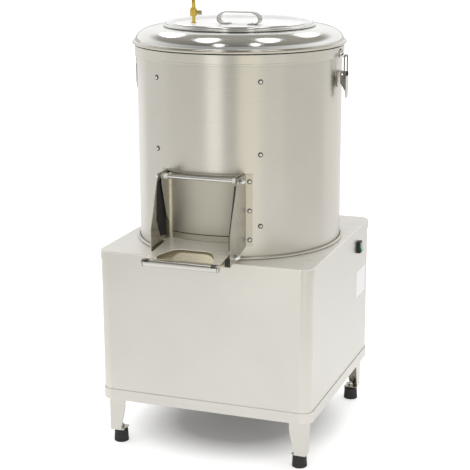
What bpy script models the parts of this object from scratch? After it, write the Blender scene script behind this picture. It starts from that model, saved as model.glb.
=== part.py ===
"""Floor-standing potato peeler: a drum with a spinning abrasive disc on a belt-driven cabinet.

The machine stands on the floor at z = 0 and its front, with the discharge chute, faces -Y.
Every length is in metres. The drum's axis is the vertical line that most pieces are set out
from, so the pieces hang from the empty "machine", which stands on that line.
"""
import math

import bmesh
import bpy
from mathutils import Matrix, Vector

# Sheet, clearances and cutters
SHEET = 0.0015
SEAT_GAP = 0.0003
RUNNING_GAP = 0.0004
OVERRUN = 0.004
WELD_DISTANCE = 0.00001
SHARP_ANGLE = math.radians(38)
HOLE_STEPS = 20
SECTOR_STEPS = 12
EDGE_ANGLE = math.radians(60)

# Cabinet
CABINET_WIDTH = 0.530
CABINET_DEPTH = 0.530
CABINET_CORNER = 0.028
CABINET_BOTTOM = 0.119
DECK_TOP = 0.490
DECK_SKIRT = 0.022
FRAME_HEM = 0.026
FRAME_FLANGE = 0.040
FRAME_SHEET = 0.002
CORNER_STEPS = 4

# Rear service panel
PANEL_WIDTH = 0.360
PANEL_HEIGHT = 0.250
PANEL_MARGIN = 0.014
PANEL_CORNER = 0.008
LOUVRE_COUNT = 5
LOUVRE_WIDTH_SHARE = 0.305
LOUVRE_PITCH = 0.026
LOUVRE_DEPTH = 0.006
LOUVRE_HEIGHT = 0.011
LOUVRE_DROP = 0.050

# Legs and feet
LEG_INSET = 0.016
LEG_SHEET = 0.0025
LEG_TOP_WIDTH = 0.040
LEG_FOOT_WIDTH = 0.027
LEG_TAPER_START = 0.025
LEG_PLATE = 0.034
LEG_BOTTOM = 0.033
FOOT_HEIGHT = 0.030
FOOT_RADIUS = 0.018
FOOT_TOP_RADIUS = 0.0165
FOOT_CHAMFER = 0.002
FOOT_INSET = 0.0195
FOOT_NECK_RADIUS = 0.0085
FOOT_STEPS = 16

# Drum
DRUM_RADIUS = 0.245
DRUM_TOP = 0.4685
DRUM_STEPS = 40
BEAD_RADIUS = 0.0035
BEAD_STEPS = 6
FLOOR_THICKNESS = 0.003
LINER_THICKNESS = 0.0035
LINER_BOTTOM = 0.012
LINER_DROP = 0.0165
LINER_TOP = DRUM_TOP - LINER_DROP
OPENING_MARGIN = 0.0131
OPENING_SILL = 0.0455
OPENING_HEAD = 0.190

# Peeling disc and spindle
DISC_CLEARANCE = 0.013
DISC_RADIUS = DRUM_RADIUS - DISC_CLEARANCE
DISC_BOTTOM = 0.022
DISC_THICKNESS = 0.008
WAVE_HEIGHT = 0.012
WAVE_COUNT = 3
DISC_STEPS = 36
DISC_RINGS = 5
SWEEP_LENGTH_SHARE = 0.65
SWEEP_LENGTH = DISC_RADIUS * SWEEP_LENGTH_SHARE
SWEEP_WIDTH = 0.006
SWEEP_HEIGHT = 0.012
HUB_RADIUS = 0.024
HUB_HEIGHT = 0.020
SPINDLE_RADIUS = 0.0125
SPINDLE_BOTTOM = -0.160
BORE_CLEARANCE = 0.0005
BORE_STEPS = 20

# Bearing housing
HOUSING_RADIUS = 0.036
HOUSING_FLANGE_RADIUS = 0.062
HOUSING_FLANGE_THICKNESS = 0.010
HOUSING_BOTTOM = -0.106
HOUSING_LIP = 0.005
BEARING_RADIUS = 0.026
BEARING_HEIGHT = 0.015
SEAL_HEIGHT = 0.005

# Belt drive
DRIVEN_PITCH_RADIUS = 0.080
MOTOR_PITCH_RADIUS = 0.032
PULLEY_LEVEL = -0.140
PULLEY_WIDTH = 0.020
PULLEY_BOSS = 0.025
PULLEY_RIM = 0.007
PULLEY_WEB = 0.007
PULLEY_STEPS = 20
GROOVE_TOP_WIDTH = 0.0140
GROOVE_BASE_WIDTH = 0.0090
GROOVE_DEPTH = 0.0110
GROOVE_OUTSIDE = 0.0035
BELT_TOP_WIDTH = 0.0128
BELT_BASE_WIDTH = 0.0092
BELT_HEIGHT = 0.008
BELT_OUTSIDE = 0.003
BELT_BIG_STEPS = 14
BELT_SMALL_STEPS = 8
MOTOR_BACK_SPACE = 0.097
MOTOR_OFFSET = CABINET_DEPTH / 2 - MOTOR_BACK_SPACE

# Motor and its hanger
MOTOR_RADIUS = 0.060
MOTOR_TOP = -0.166
MOTOR_HEIGHT = 0.172
MOTOR_BELL = 0.026
MOTOR_FLANGE_RADIUS = 0.066
MOTOR_STEPS = 24
MOTOR_FIN_COUNT = 16
MOTOR_FIN_HEIGHT = 0.005
MOTOR_FIN_WIDTH = 0.0035
MOTOR_SHAFT_RADIUS = 0.0095
HANGER_SHEET = 0.004
HANGER_HALF_WIDTH = 0.084
HANGER_DEPTH = 0.150
HANGER_FLANGE = 0.022
HANGER_BORE_RADIUS = 0.020

# Drain
DRAIN_RADIUS = 0.0168
DRAIN_WALL = 0.002
DRAIN_INSET = 0.055
DRAIN_X = DRAIN_INSET - DRUM_RADIUS
DRAIN_Y = -0.060
DRAIN_LEVEL = -0.116
DRAIN_BEND = 0.034
DRAIN_BEND_STEPS = 6
DRAIN_REACH = 0.067
DRAIN_COLLAR_RADIUS = 0.026
DRAIN_COLLAR_THICKNESS = 0.004

# Switch, on the right side near the back
SWITCH_BACK_SPACE = 0.1155
SWITCH_Y = CABINET_DEPTH / 2 - SWITCH_BACK_SPACE
SWITCH_LEVEL = -0.050
SWITCH_WIDTH = 0.021
SWITCH_HEIGHT = 0.030
SWITCH_RIM_REACH = 0.0060
SWITCH_BACK_DEPTH = 0.020
SWITCH_WALL = 0.0022
ROCKER_TILT = math.radians(10)
ROCKER_REACH = 0.0095
ROCKER_ARM = 0.0105
ROCKER_FACE = 0.0068
ROCKER_ROOT_RADIUS = 0.0016
ROCKER_ROOT_ANGLES = (math.radians(225), math.radians(135))
ROCKER_STEPS = 3
GLAND_RADIUS = 0.011
GLAND_SIDE_SPACE = 0.050
GLAND_X = GLAND_SIDE_SPACE - CABINET_WIDTH / 2
GLAND_LEVEL = -0.320
GLAND_REACH = 0.020
GLAND_BORE_RADIUS = 0.0045
GLAND_TAPER = 0.0018
GLAND_FLANGE = 0.0070
GLAND_STEPS = 12

# Chute
CHUTE_INNER = 0.0945
CHUTE_TOP = 0.200
CHUTE_TOP_REACH = 0.0425
CHUTE_FRONT_TOP = DRUM_RADIUS + CHUTE_TOP_REACH
CHUTE_SHOULDER = 0.0110
CHUTE_REACH = 0.0855
CHUTE_FRONT = DRUM_RADIUS + CHUTE_REACH
CHUTE_BEND_LEVEL = 0.080
CHUTE_FRONT_BOTTOM = 0.0085
CHUTE_REAR_BOTTOM = 0.0316
CHUTE_FLANGE_WIDTH = 0.0165
CHUTE_RETURN_WIDTH = 0.0125
CHUTE_RETURN_TOP = 0.040
FLANGE_STEPS = 3
LIP_REACH = 0.0110
LIP_MARGIN = 0.0059

# Rods of the chute
ROD_RADIUS = 0.0045
ROD_STEPS = 16
UPPER_ROD_REACH = 0.019
UPPER_ROD_Y = -DRUM_RADIUS - UPPER_ROD_REACH
UPPER_ROD_LEVEL = 0.191
LOWER_ROD_REACH = 0.055
LOWER_ROD_Y = -DRUM_RADIUS - LOWER_ROD_REACH
NUT_ACROSS_RADIUS = 0.0073
NUT_HEIGHT = 0.0065
NUT_DOME = 0.0065
NUT_DOME_STEPS = 12
BUSH_RADIUS = 0.0063
BUSH_NECK_RADIUS = 0.0055
BUSH_INNER_LENGTH = 0.0095

# Discharge door
DOOR_STANDOFF = 0.0008
DOOR_SIDE_SPACE = 0.0058
DOOR_HALF_WIDTH = CHUTE_INNER - DOOR_SIDE_SPACE
DOOR_BOTTOM = 0.0365
DOOR_TOP = 0.1940
EAR_REACH = 0.0315
EAR_FRONT = DRUM_RADIUS + EAR_REACH
EAR_TOP = 0.2040
EAR_NOTCH_REACH = 0.001
EAR_NOTCH = DRUM_RADIUS + EAR_NOTCH_REACH
EAR_WAIST_REACH = 0.008
EAR_WAIST = DRUM_RADIUS + EAR_WAIST_REACH
EAR_SHOULDER_LEVEL = 0.176
EAR_KNEE_LEVEL = 0.098
EAR_TAPER_LEVEL = 0.076
EAR_FLANGE = 0.006

# Tongue and its grip
TONGUE_SIDE_SPACE = 0.0155
TONGUE_HALF_WIDTH = CHUTE_INNER - TONGUE_SIDE_SPACE
TONGUE_FRONT_SPACE = 0.0085
TONGUE_FRONT_HALF_WIDTH = CHUTE_INNER - TONGUE_FRONT_SPACE
TONGUE_FLARE_REACH = 0.093
TONGUE_FLARE_START = DRUM_RADIUS + TONGUE_FLARE_REACH
TONGUE_SHEET = 0.002
TONGUE_REAR_LEVEL = 0.0378
GRIP_FORWARD = 0.144
GRIP_Y = -DRUM_RADIUS - GRIP_FORWARD
GRIP_LEVEL = 0.0205
GRIP_RADIUS = 0.008
GRIP_WALL = 0.0015
GRIP_SIDE_SPACE = 0.0055
GRIP_HALF_LENGTH = CHUTE_INNER - GRIP_SIDE_SPACE
GRIP_CAP_THICKNESS = 0.0025
GRIP_CAP_RADIUS = 0.0086
GRIP_VENT_RADIUS = 0.0015
GRIP_STEPS = 14
HAND_HOLE_REAR_REACH = 0.054
HAND_HOLE_REAR = DRUM_RADIUS + HAND_HOLE_REAR_REACH
HAND_HOLE_REAR_SPACE = 0.0545
HAND_HOLE_REAR_HALF = CHUTE_INNER - HAND_HOLE_REAR_SPACE
HAND_HOLE_FRONT_SPACE = 0.0245
HAND_HOLE_FRONT_HALF = CHUTE_INNER - HAND_HOLE_FRONT_SPACE
HAND_HOLE_SHOULDER_REACH = 0.115
HAND_HOLE_SHOULDER = DRUM_RADIUS + HAND_HOLE_SHOULDER_REACH
HAND_HOLE_CORNER = 0.018
HAND_HOLE_STEPS = 5
TONGUE_STEPS = 10

# Lid
SKIRT_SPACE = 0.005
SKIRT_OUTER = DRUM_RADIUS + SKIRT_SPACE
SKIRT_DEPTH = 0.0247
SKIRT_BOTTOM = DRUM_TOP - SKIRT_DEPTH
RIM_LIFT = 0.002
RIM_BOTTOM = DRUM_TOP + RIM_LIFT
RIM_THICKNESS = 0.0077
RIM_TOP = RIM_BOTTOM + RIM_THICKNESS
RIM_OVERHANG = 0.0051
RIM_OUTER = SKIRT_OUTER + RIM_OVERHANG
LID_SHEET = 0.0015
DOME_STEP_IN = 0.0013
DOME_OUTER = SKIRT_OUTER - DOME_STEP_IN
DOME_SHOULDER_WIDTH = 0.0587
DOME_CREST_RADIUS = DOME_OUTER - DOME_SHOULDER_WIDTH
DOME_STEP_UP = 0.0008
DOME_BASE = RIM_TOP + DOME_STEP_UP
DOME_RISE = 0.0320
DOME_STEPS = 6
DOME_INNER_STEPS = 3
LID_HOLE_MARGIN = 0.040
LID_HOLE_RADIUS = DOME_CREST_RADIUS - LID_HOLE_MARGIN
LID_STEPS = DRUM_STEPS
SEAL_WIDTH = 0.0042
RIM_STEPS = 4

# Cover plate on the lid
COVER_SHEET = 0.0015
COVER_FLOOR_MARGIN = 0.030
COVER_FLOOR_RADIUS = DOME_CREST_RADIUS - COVER_FLOOR_MARGIN
COVER_RIM_MARGIN = 0.018
COVER_RIM_RADIUS = DOME_CREST_RADIUS - COVER_RIM_MARGIN
COVER_RIM_HEIGHT = 0.0112
COVER_BEAD_RADIUS = 0.0055
COVER_BEAD_START = math.radians(162)
COVER_BEAD_STEPS = 4
COVER_FOOT_STEPS = 3
COVER_HOLLOW_STEPS = 2
COVER_FOOT_MARGIN = 0.008
COVER_FOOT_RADIUS = DOME_CREST_RADIUS - COVER_FOOT_MARGIN
COVER_FOOT_HEIGHT = 0.0055

# Lid handle
HANDLE_HALF_SPAN = 0.0545
HANDLE_HEIGHT = 0.0320
HANDLE_BULGE = 0.0122
HANDLE_FOOT_HALF = 0.036
HANDLE_TOP_HALF = 0.030
HANDLE_STRAP = 0.0022
HANDLE_WIDTH = 0.026
HANDLE_PAD = 0.012
HANDLE_EDGE = 0.0005
HANDLE_STEPS = 4

# Water valve on the lid
VALVE_INSET = 0.043
VALVE_X = VALVE_INSET - COVER_FLOOR_RADIUS
VALVE_NIPPLE_RADIUS = 0.0044
VALVE_NUT_RADIUS = 0.0085
VALVE_NUT_HEIGHT = 0.0045
VALVE_BODY_LOW = 0.0135
VALVE_BODY_HIGH = 0.0325
VALVE_BODY_RADIUS = 0.0078
VALVE_PIPE_RADIUS = 0.0047
VALVE_PIPE_TOP = 0.066
VALVE_BARB = 0.0008
VALVE_BARB_COUNT = 3
VALVE_STEPS = 14
VALVE_TAIL = 0.008
VALVE_TAP_LEVEL = 0.0245
VALVE_BOSS_RADIUS = 0.0048
VALVE_BOSS_REACH = 0.0115
TAP_RADIUS = 0.0056
TAP_LENGTH = 0.0060
TAP_FLUTES = 8
TAP_FLUTE_RADIUS = 0.0011
TAP_FLUTE_STEPS = 8
TAP_STEPS = 24

# Toggle latches at both sides
LATCH_BASE_HALF = 0.0120
LATCH_BASE_HEIGHT = 0.038
LATCH_BASE_DROP = 0.0545
LATCH_BASE_HIGH = DRUM_TOP - LATCH_BASE_DROP
LATCH_BASE_SHEET = 0.0020
LATCH_EAR_HALF = 0.0080
LATCH_EAR_RISE = 0.0062
LATCH_EAR_SHEET = 0.0015
LATCH_EAR_REACH = 0.015
LATCH_EAR_CORNER = 0.0026
LATCH_PIVOT_REACH = 0.0130
LATCH_PIVOT_DROP = 0.063
LATCH_PIVOT_LEVEL = DRUM_TOP - LATCH_PIVOT_DROP
LATCH_PIN_RADIUS = 0.0018
LEVER_HALF_WIDTH = 0.0112
LEVER_TIP_HALF_WIDTH = 0.0065
LEVER_SHEET = 0.0014
LEVER_FACE_REACH = 0.0215
LEVER_RISE = 0.005
LEVER_TOP = LATCH_PIVOT_LEVEL + LEVER_RISE
LEVER_WEB_DROP = 0.0045
LEVER_WEB_TOP = LATCH_PIVOT_LEVEL - LEVER_WEB_DROP
LEVER_TIP_DROP = 0.0555
LEVER_TIP = LATCH_PIVOT_LEVEL - LEVER_TIP_DROP
LEVER_CHEEK_DROP = 0.0395
LEVER_CHEEK_LOW = LATCH_PIVOT_LEVEL - LEVER_CHEEK_DROP
LEVER_CHEEK_BACK = 0.0078
LEVER_HEEL = 0.0028
LATCH_STEPS = 12
BAIL_WIRE_RADIUS = 0.0014
BAIL_REACH = 0.0180
BAIL_PIVOT_DROP = 0.009
BAIL_PIVOT_LEVEL = LATCH_PIVOT_LEVEL - BAIL_PIVOT_DROP
BAIL_HEIGHT = 0.0515
BAIL_TOP = BAIL_PIVOT_LEVEL + BAIL_HEIGHT
BAIL_CORNER = 0.006
BAIL_STEPS = 4
BAIL_CLEARANCE = 0.0006
KEEPER_HALF = 0.0100
KEEPER_SHEET = 0.0015
KEEPER_LIFT = 0.0004
KEEPER_BOTTOM = SKIRT_BOTTOM + KEEPER_LIFT
KEEPER_HEIGHT = 0.0168
KEEPER_TOP = KEEPER_BOTTOM + KEEPER_HEIGHT
KEEPER_TIP_HEIGHT = 0.0078
KEEPER_TIP = KEEPER_BOTTOM + KEEPER_TIP_HEIGHT

# Places that follow from the sizes above
DECK_UNDERSIDE = -SHEET
DRUM_INNER = DRUM_RADIUS - SHEET
DOOR_INNER = DRUM_RADIUS + DOOR_STANDOFF
DOOR_OUTER = DOOR_INNER + SHEET
CHUTE_OUTER = CHUTE_INNER + SHEET
COVER_SEAT = DOME_BASE + DOME_RISE + SEAT_GAP
COVER_FLOOR = COVER_SEAT + COVER_SHEET
GRIP_REACH = -GRIP_Y + GRIP_CAP_RADIUS
DRAIN_LEFT = CABINET_WIDTH / 2 + DRAIN_REACH
EAR_INNER = DOOR_HALF_WIDTH - SEAT_GAP
EAR_OUTER = EAR_INNER + SHEET
ROCKER_PIVOT = CABINET_WIDTH / 2 + SHEET
SWITCH_RIGHT = ROCKER_PIVOT + ROCKER_FACE * math.cos(ROCKER_TILT) + ROCKER_ARM * math.sin(ROCKER_TILT)
GLAND_BACK = CABINET_DEPTH / 2 + GLAND_REACH

STEEL = ("brushed_steel", (0.60, 0.59, 0.56), 0.32, 1.0)
POLISHED = ("polished_steel", (0.74, 0.74, 0.73), 0.12, 1.0)
DARK_STEEL = ("dark_steel", (0.28, 0.28, 0.29), 0.40, 1.0)
BRASS = ("brass", (0.72, 0.54, 0.16), 0.28, 1.0)
RUBBER = ("black_rubber", (0.020, 0.020, 0.021), 0.75, 0.0)
NYLON = ("white_nylon", (0.82, 0.82, 0.79), 0.45, 0.0)
BLACK_PLASTIC = ("black_plastic", (0.015, 0.015, 0.016), 0.40, 0.0)
GREEN_PLASTIC = ("green_plastic", (0.02, 0.30, 0.14), 0.30, 0.0)
GRIT = ("abrasive", (0.11, 0.10, 0.09), 0.95, 0.0)
PAINT = ("motor_paint", (0.16, 0.18, 0.20), 0.50, 0.1)
CAST = ("cast_iron", (0.20, 0.20, 0.20), 0.60, 0.8)


def clear_scene():
    """Remove every object, so that the model starts from nothing."""
    for existing in list(bpy.data.objects):
        bpy.data.objects.remove(existing, do_unlink=True)


clear_scene()
PARTS = bpy.data.collections.new("potato_peeler")
CUTTERS = bpy.data.collections.new("potato_peeler_cutters")
for group in (PARTS, CUTTERS):
    bpy.context.scene.collection.children.link(group)


def material(finish):
    """The Principled material of a finish, made the first time that it is asked for."""
    name, colour, roughness, metallic = finish
    found = bpy.data.materials.get(name)
    if found:
        return found
    made = bpy.data.materials.new(name)
    made.use_nodes = True
    shader = made.node_tree.nodes["Principled BSDF"]
    shader.inputs["Base Color"].default_value = (*colour, 1.0)
    shader.inputs["Roughness"].default_value = roughness
    shader.inputs["Metallic"].default_value = metallic
    made.diffuse_color = (*colour, 1.0)
    return made


def body(name, pivot=(0, 0, 0), parent=None):
    """An empty that carries the pieces of one rigid body, standing on the body's joint axis."""
    empty = bpy.data.objects.new(name, None)
    empty.empty_display_size = DRUM_RADIUS
    PARTS.objects.link(empty)
    empty.parent = parent
    empty["pivot"] = [float(v) for v in pivot]
    carrier = Vector(parent["pivot"]) if parent else Vector((0, 0, 0))
    empty.location = Vector(pivot) - carrier
    return empty


def add_part(name, mesh, finish, carrier, at=(0, 0, 0)):
    """Put a mesh into the model as one named piece; at is its origin in the machine's frame."""
    mesh.name = name
    piece = bpy.data.objects.new(name, mesh)
    piece.data.materials.append(material(finish))
    PARTS.objects.link(piece)
    piece.parent = carrier
    piece.location = Vector(at) - Vector(carrier["pivot"])
    return piece


def add_cutter(name, mesh, carrier, at=(0, 0, 0)):
    """A hidden solid that a Boolean takes away or joins."""
    cutter = bpy.data.objects.new(name, mesh)
    cutter.hide_render = True
    cutter.display_type = "WIRE"
    CUTTERS.objects.link(cutter)
    cutter.parent = carrier
    cutter.location = Vector(at) - Vector(carrier["pivot"])
    return cutter


def combine(piece, other, operation):
    """Join a solid to a piece, or cut it away, with a live Boolean."""
    boolean = piece.modifiers.new(operation.lower(), "BOOLEAN")
    boolean.operation = operation
    boolean.object = other
    boolean.solver = "EXACT"
    return boolean


def cut(piece, mesh, at=(0, 0, 0)):
    cutter = add_cutter("cut_" + piece.name, mesh, piece.parent, at)
    return combine(piece, cutter, "DIFFERENCE")


def join(piece, mesh, at=(0, 0, 0)):
    addition = add_cutter("join_" + piece.name, mesh, piece.parent, at)
    return combine(piece, addition, "UNION")


def evaluated_mesh(scratch):
    """The mesh that a scratch object evaluates to; the scratch object is removed."""
    bpy.context.view_layer.update()
    graph = bpy.context.evaluated_depsgraph_get()
    mesh = bpy.data.meshes.new_from_object(scratch.evaluated_get(graph))
    mesh.transform(scratch.matrix_world)
    bpy.data.objects.remove(scratch, do_unlink=True)
    return mesh


def weld(mesh):
    """Close the seams of a mesh and turn its faces outward."""
    work = bmesh.new()
    work.from_mesh(mesh)
    bmesh.ops.remove_doubles(work, verts=work.verts, dist=WELD_DISTANCE)
    bmesh.ops.recalc_face_normals(work, faces=work.faces)
    work.to_mesh(mesh)
    work.free()
    return mesh


def smooth(mesh):
    mesh.shade_smooth()
    mesh.set_sharp_from_angle(angle=SHARP_ANGLE)
    return mesh


def turned(profile, steps, closed=True):
    """A solid of revolution about Z: profile lists (radius, height) down its outer side."""
    mesh = bpy.data.meshes.new("profile")
    work = bmesh.new()
    corners = [work.verts.new((radius, 0, height)) for radius, height in profile]
    for first, second in zip(corners, corners[1:]):
        work.edges.new((first, second))
    if closed:
        work.edges.new((corners[-1], corners[0]))
    work.to_mesh(mesh)
    work.free()
    scratch = bpy.data.objects.new("profile", mesh)
    bpy.context.scene.collection.objects.link(scratch)
    screw = scratch.modifiers.new("turn", "SCREW")
    screw.angle = 2 * math.pi
    screw.steps = screw.render_steps = steps
    screw.use_merge_vertices = True
    screw.merge_threshold = WELD_DISTANCE
    return smooth(weld(evaluated_mesh(scratch)))


def arc(centre, radius, start, end, steps):
    """Points on an arc in a plane, from one angle to another, both included."""
    sweep = [start + (end - start) * step / steps for step in range(steps + 1)]
    return [(centre[0] + radius * math.cos(a), centre[1] + radius * math.sin(a)) for a in sweep]


def bend(before, here, after, radius, steps=3):
    """The arc that rounds one corner of an outline."""
    here = Vector(here)
    back = (Vector(before) - here).normalized()
    ahead = (Vector(after) - here).normalized()
    half = back.angle(ahead) / 2
    inset = radius / math.tan(half)
    centre = here + (back + ahead).normalized() * (radius / math.sin(half))
    start = here + back * inset - centre
    finish = here + ahead * inset - centre
    first = math.atan2(start.y, start.x)
    turn = math.remainder(math.atan2(finish.y, finish.x) - first, 2 * math.pi)
    return arc(centre, radius, first, first + turn, steps)


def rounded(outline, radius, steps=3):
    """An outline whose corners are all rounded by the same radius."""
    points = []
    for index, corner in enumerate(outline):
        points += bend(outline[index - 1], corner, outline[(index + 1) % len(outline)], radius, steps)
    return points


def rectangle(half_width, half_height, centre=(0, 0)):
    corners = ((-1, -1), (1, -1), (1, 1), (-1, 1))
    return [(centre[0] + side * half_width, centre[1] + end * half_height) for side, end in corners]


ALONG = {
    "X": Matrix.Rotation(math.pi / 2, 4, "Y"),
    "Y": Matrix.Rotation(math.pi / 2, 4, "X"),
    "Z": Matrix.Identity(4),
}
PLANES = {
    "XY": Matrix.Identity(4),
    "YZ": Matrix(((0, 0, 1, 0), (1, 0, 0, 0), (0, 1, 0, 0), (0, 0, 0, 1))),
    "XZ": Matrix(((1, 0, 0, 0), (0, 0, -1, 0), (0, 1, 0, 0), (0, 0, 0, 1))),
}


def plate(outline, thickness, plane="XY", holes=()):
    """A flat outline, with any holes, given a thickness centred on its plane."""
    flat = bpy.data.curves.new("outline", "CURVE")
    flat.dimensions = "2D"
    flat.fill_mode = "BOTH"
    flat.extrude = thickness / 2
    for loop in (outline, *holes):
        spline = flat.splines.new("POLY")
        spline.points.add(len(loop) - 1)
        for point, (across, along) in zip(spline.points, loop):
            point.co = (across, along, 0, 1)
        spline.use_cyclic_u = True
    scratch = bpy.data.objects.new("outline", flat)
    bpy.context.scene.collection.objects.link(scratch)
    mesh = weld(evaluated_mesh(scratch))
    mesh.transform(PLANES[plane])
    return smooth(mesh)


def ring_sector(inner, outer, low, high, half_angle, steps=SECTOR_STEPS, centre_angle=0.0):
    """A curved strip about the drum's axis, centred on an angle that is measured from the front."""
    front = centre_angle - math.pi / 2
    outline = arc((0, 0), outer, front - half_angle, front + half_angle, steps)
    outline += arc((0, 0), inner, front + half_angle, front - half_angle, steps)
    mesh = plate(outline, high - low)
    mesh.transform(Matrix.Translation((0, 0, (low + high) / 2)))
    return mesh


def block(size, centre=(0, 0, 0)):
    """A box, as a mesh."""
    mesh = bpy.data.meshes.new("block")
    work = bmesh.new()
    bmesh.ops.create_cube(work, size=1)
    bmesh.ops.scale(work, vec=size, verts=work.verts)
    bmesh.ops.translate(work, vec=centre, verts=work.verts)
    work.to_mesh(mesh)
    work.free()
    return mesh


def rod(radius, length, steps=HOLE_STEPS, axis="Z", centre=(0, 0, 0)):
    """A round bar along one axis, as a mesh."""
    mesh = bpy.data.meshes.new("rod")
    work = bmesh.new()
    bmesh.ops.create_cone(work, cap_ends=True, segments=steps, radius1=radius, radius2=radius,
                          depth=length)
    bmesh.ops.transform(work, matrix=Matrix.Translation(centre) @ ALONG[axis], verts=work.verts)
    work.to_mesh(mesh)
    work.free()
    return smooth(mesh)


def repeated(mesh, places):
    """One mesh that holds a copy of a mesh at each place, for a set of like fasteners."""
    group_mesh = bpy.data.meshes.new("set")
    work = bmesh.new()
    for place in places:
        copy = mesh.copy()
        copy.transform(place)
        if place.is_negative:
            copy.flip_normals()
        work.from_mesh(copy)
        bpy.data.meshes.remove(copy)
    work.to_mesh(group_mesh)
    work.free()
    return smooth(group_mesh)


def front_of(radius, across):
    """How far in front of the axis a circle of this radius is, at a distance to one side."""
    return math.sqrt(radius ** 2 - across ** 2)


def cabinet_outline(inset=0.0, corner=CABINET_CORNER):
    """The outline of the cabinet in plan, or of a sheet that lies inside it by an inset."""
    outline = rectangle(CABINET_WIDTH / 2 - inset, CABINET_DEPTH / 2 - inset)
    return rounded(outline, corner - inset, CORNER_STEPS)


def make_deck(machine):
    """The top of the cabinet: a pan turned over, whose skirt covers the cabinet's upper edge."""
    pan = plate(cabinet_outline(), DECK_SKIRT)
    deck = add_part("deck_plate", pan, STEEL, machine, (0, 0, DECK_TOP - DECK_SKIRT / 2))
    hollow = plate(cabinet_outline(SHEET), DECK_SKIRT)
    cut(deck, hollow, (0, 0, DECK_TOP - DECK_SKIRT / 2 - SHEET))
    cut(deck, rod(HOUSING_RADIUS + RUNNING_GAP, DECK_SKIRT, BORE_STEPS), (0, 0, DECK_TOP))
    cut(deck, rod(DRAIN_RADIUS + RUNNING_GAP, DECK_SKIRT, HOLE_STEPS), (DRAIN_X, DRAIN_Y, DECK_TOP))


def make_cabinet(machine):
    """The wrapped sheet that closes the four sides, with the openings that the fittings need."""
    inset = SHEET + SEAT_GAP
    low = CABINET_BOTTOM + FRAME_SHEET + SEAT_GAP
    high = DECK_TOP - SHEET - SEAT_GAP
    wrapped = plate(cabinet_outline(inset), high - low, "XY", [cabinet_outline(inset + SHEET)])
    shell = add_part("cabinet_shell", wrapped, STEEL, machine, (0, 0, (low + high) / 2))
    side = CABINET_WIDTH / 2
    back = CABINET_DEPTH / 2
    through = 2 * (inset + SHEET + OVERRUN)
    service = (PANEL_WIDTH - 2 * PANEL_MARGIN, through, PANEL_HEIGHT - 2 * PANEL_MARGIN)
    cut(shell, block(service), (0, back, panel_centre()))
    snap_in = [size - 2 * SWITCH_WALL + 2 * SEAT_GAP for size in (SWITCH_WIDTH, SWITCH_HEIGHT)]
    cut(shell, block((through, *snap_in)), (side, SWITCH_Y, DECK_TOP + SWITCH_LEVEL))
    drain_hole = rod(DRAIN_RADIUS + RUNNING_GAP, through, HOLE_STEPS, "X")
    cut(shell, drain_hole, (-side, DRAIN_Y, DECK_TOP + DRAIN_LEVEL))
    cut(shell, rod(gland_thread(), through, HOLE_STEPS, "Y"), (GLAND_X, back, DECK_TOP + GLAND_LEVEL))


def panel_centre():
    """The height of the rear panel's middle above the floor."""
    return (CABINET_BOTTOM + DECK_TOP) / 2


def gland_thread():
    """The radius of the hole that the cable gland is screwed into."""
    return GLAND_RADIUS - SHEET


def make_base_frame(machine):
    """The folded frame round the cabinet's foot: a hem outside and a flange that carries the legs."""
    pan = plate(cabinet_outline(), FRAME_HEM)
    frame = add_part("base_frame", pan, STEEL, machine, (0, 0, CABINET_BOTTOM + FRAME_HEM / 2))
    above = CABINET_BOTTOM + FRAME_HEM / 2 + FRAME_SHEET
    cut(frame, plate(cabinet_outline(SHEET), FRAME_HEM), (0, 0, above))
    window = rectangle(CABINET_WIDTH / 2 - FRAME_FLANGE, CABINET_DEPTH / 2 - FRAME_FLANGE)
    cut(frame, plate(rounded(window, CABINET_CORNER), FRAME_HEM), (0, 0, CABINET_BOTTOM))


def make_rear_panel(machine):
    """The removable panel at the back, with a stack of louvres on each side."""
    outline = rounded(rectangle(PANEL_WIDTH / 2, PANEL_HEIGHT / 2), PANEL_CORNER)
    face = CABINET_DEPTH / 2 - SHEET / 2
    width = PANEL_WIDTH * LOUVRE_WIDTH_SHARE
    centres = []
    for side in (-1, 1):
        for row in range(LOUVRE_COUNT):
            centres.append((side * PANEL_WIDTH / 4, PANEL_HEIGHT / 2 - LOUVRE_DROP - row * LOUVRE_PITCH))
    holes = [rectangle(width / 2, LOUVRE_HEIGHT / 2, centre) for centre in centres]
    sheet = plate(outline, SHEET, "XZ", holes)
    panel = add_part("rear_panel", sheet, STEEL, machine, (0, face, panel_centre()))
    hood = plate(louvre_profile(), width + 2 * SHEET, "YZ")
    places = [Matrix.Translation((across, 0, level)) for across, level in centres]
    join(panel, repeated(hood, places), (0, face, panel_centre()))


def louvre_profile():
    """The bent hood over one louvre, in a plane square to the panel, open at its lower edge."""
    top = LOUVRE_HEIGHT / 2 + SHEET
    low = -LOUVRE_HEIGHT / 2
    outer = [(0, top), (LOUVRE_DEPTH, low + SHEET), (LOUVRE_DEPTH, low)]
    inner = [(LOUVRE_DEPTH - SHEET, low), (LOUVRE_DEPTH - SHEET, low + SHEET / 2), (0, top - 2 * SHEET)]
    return outer + inner


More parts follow.
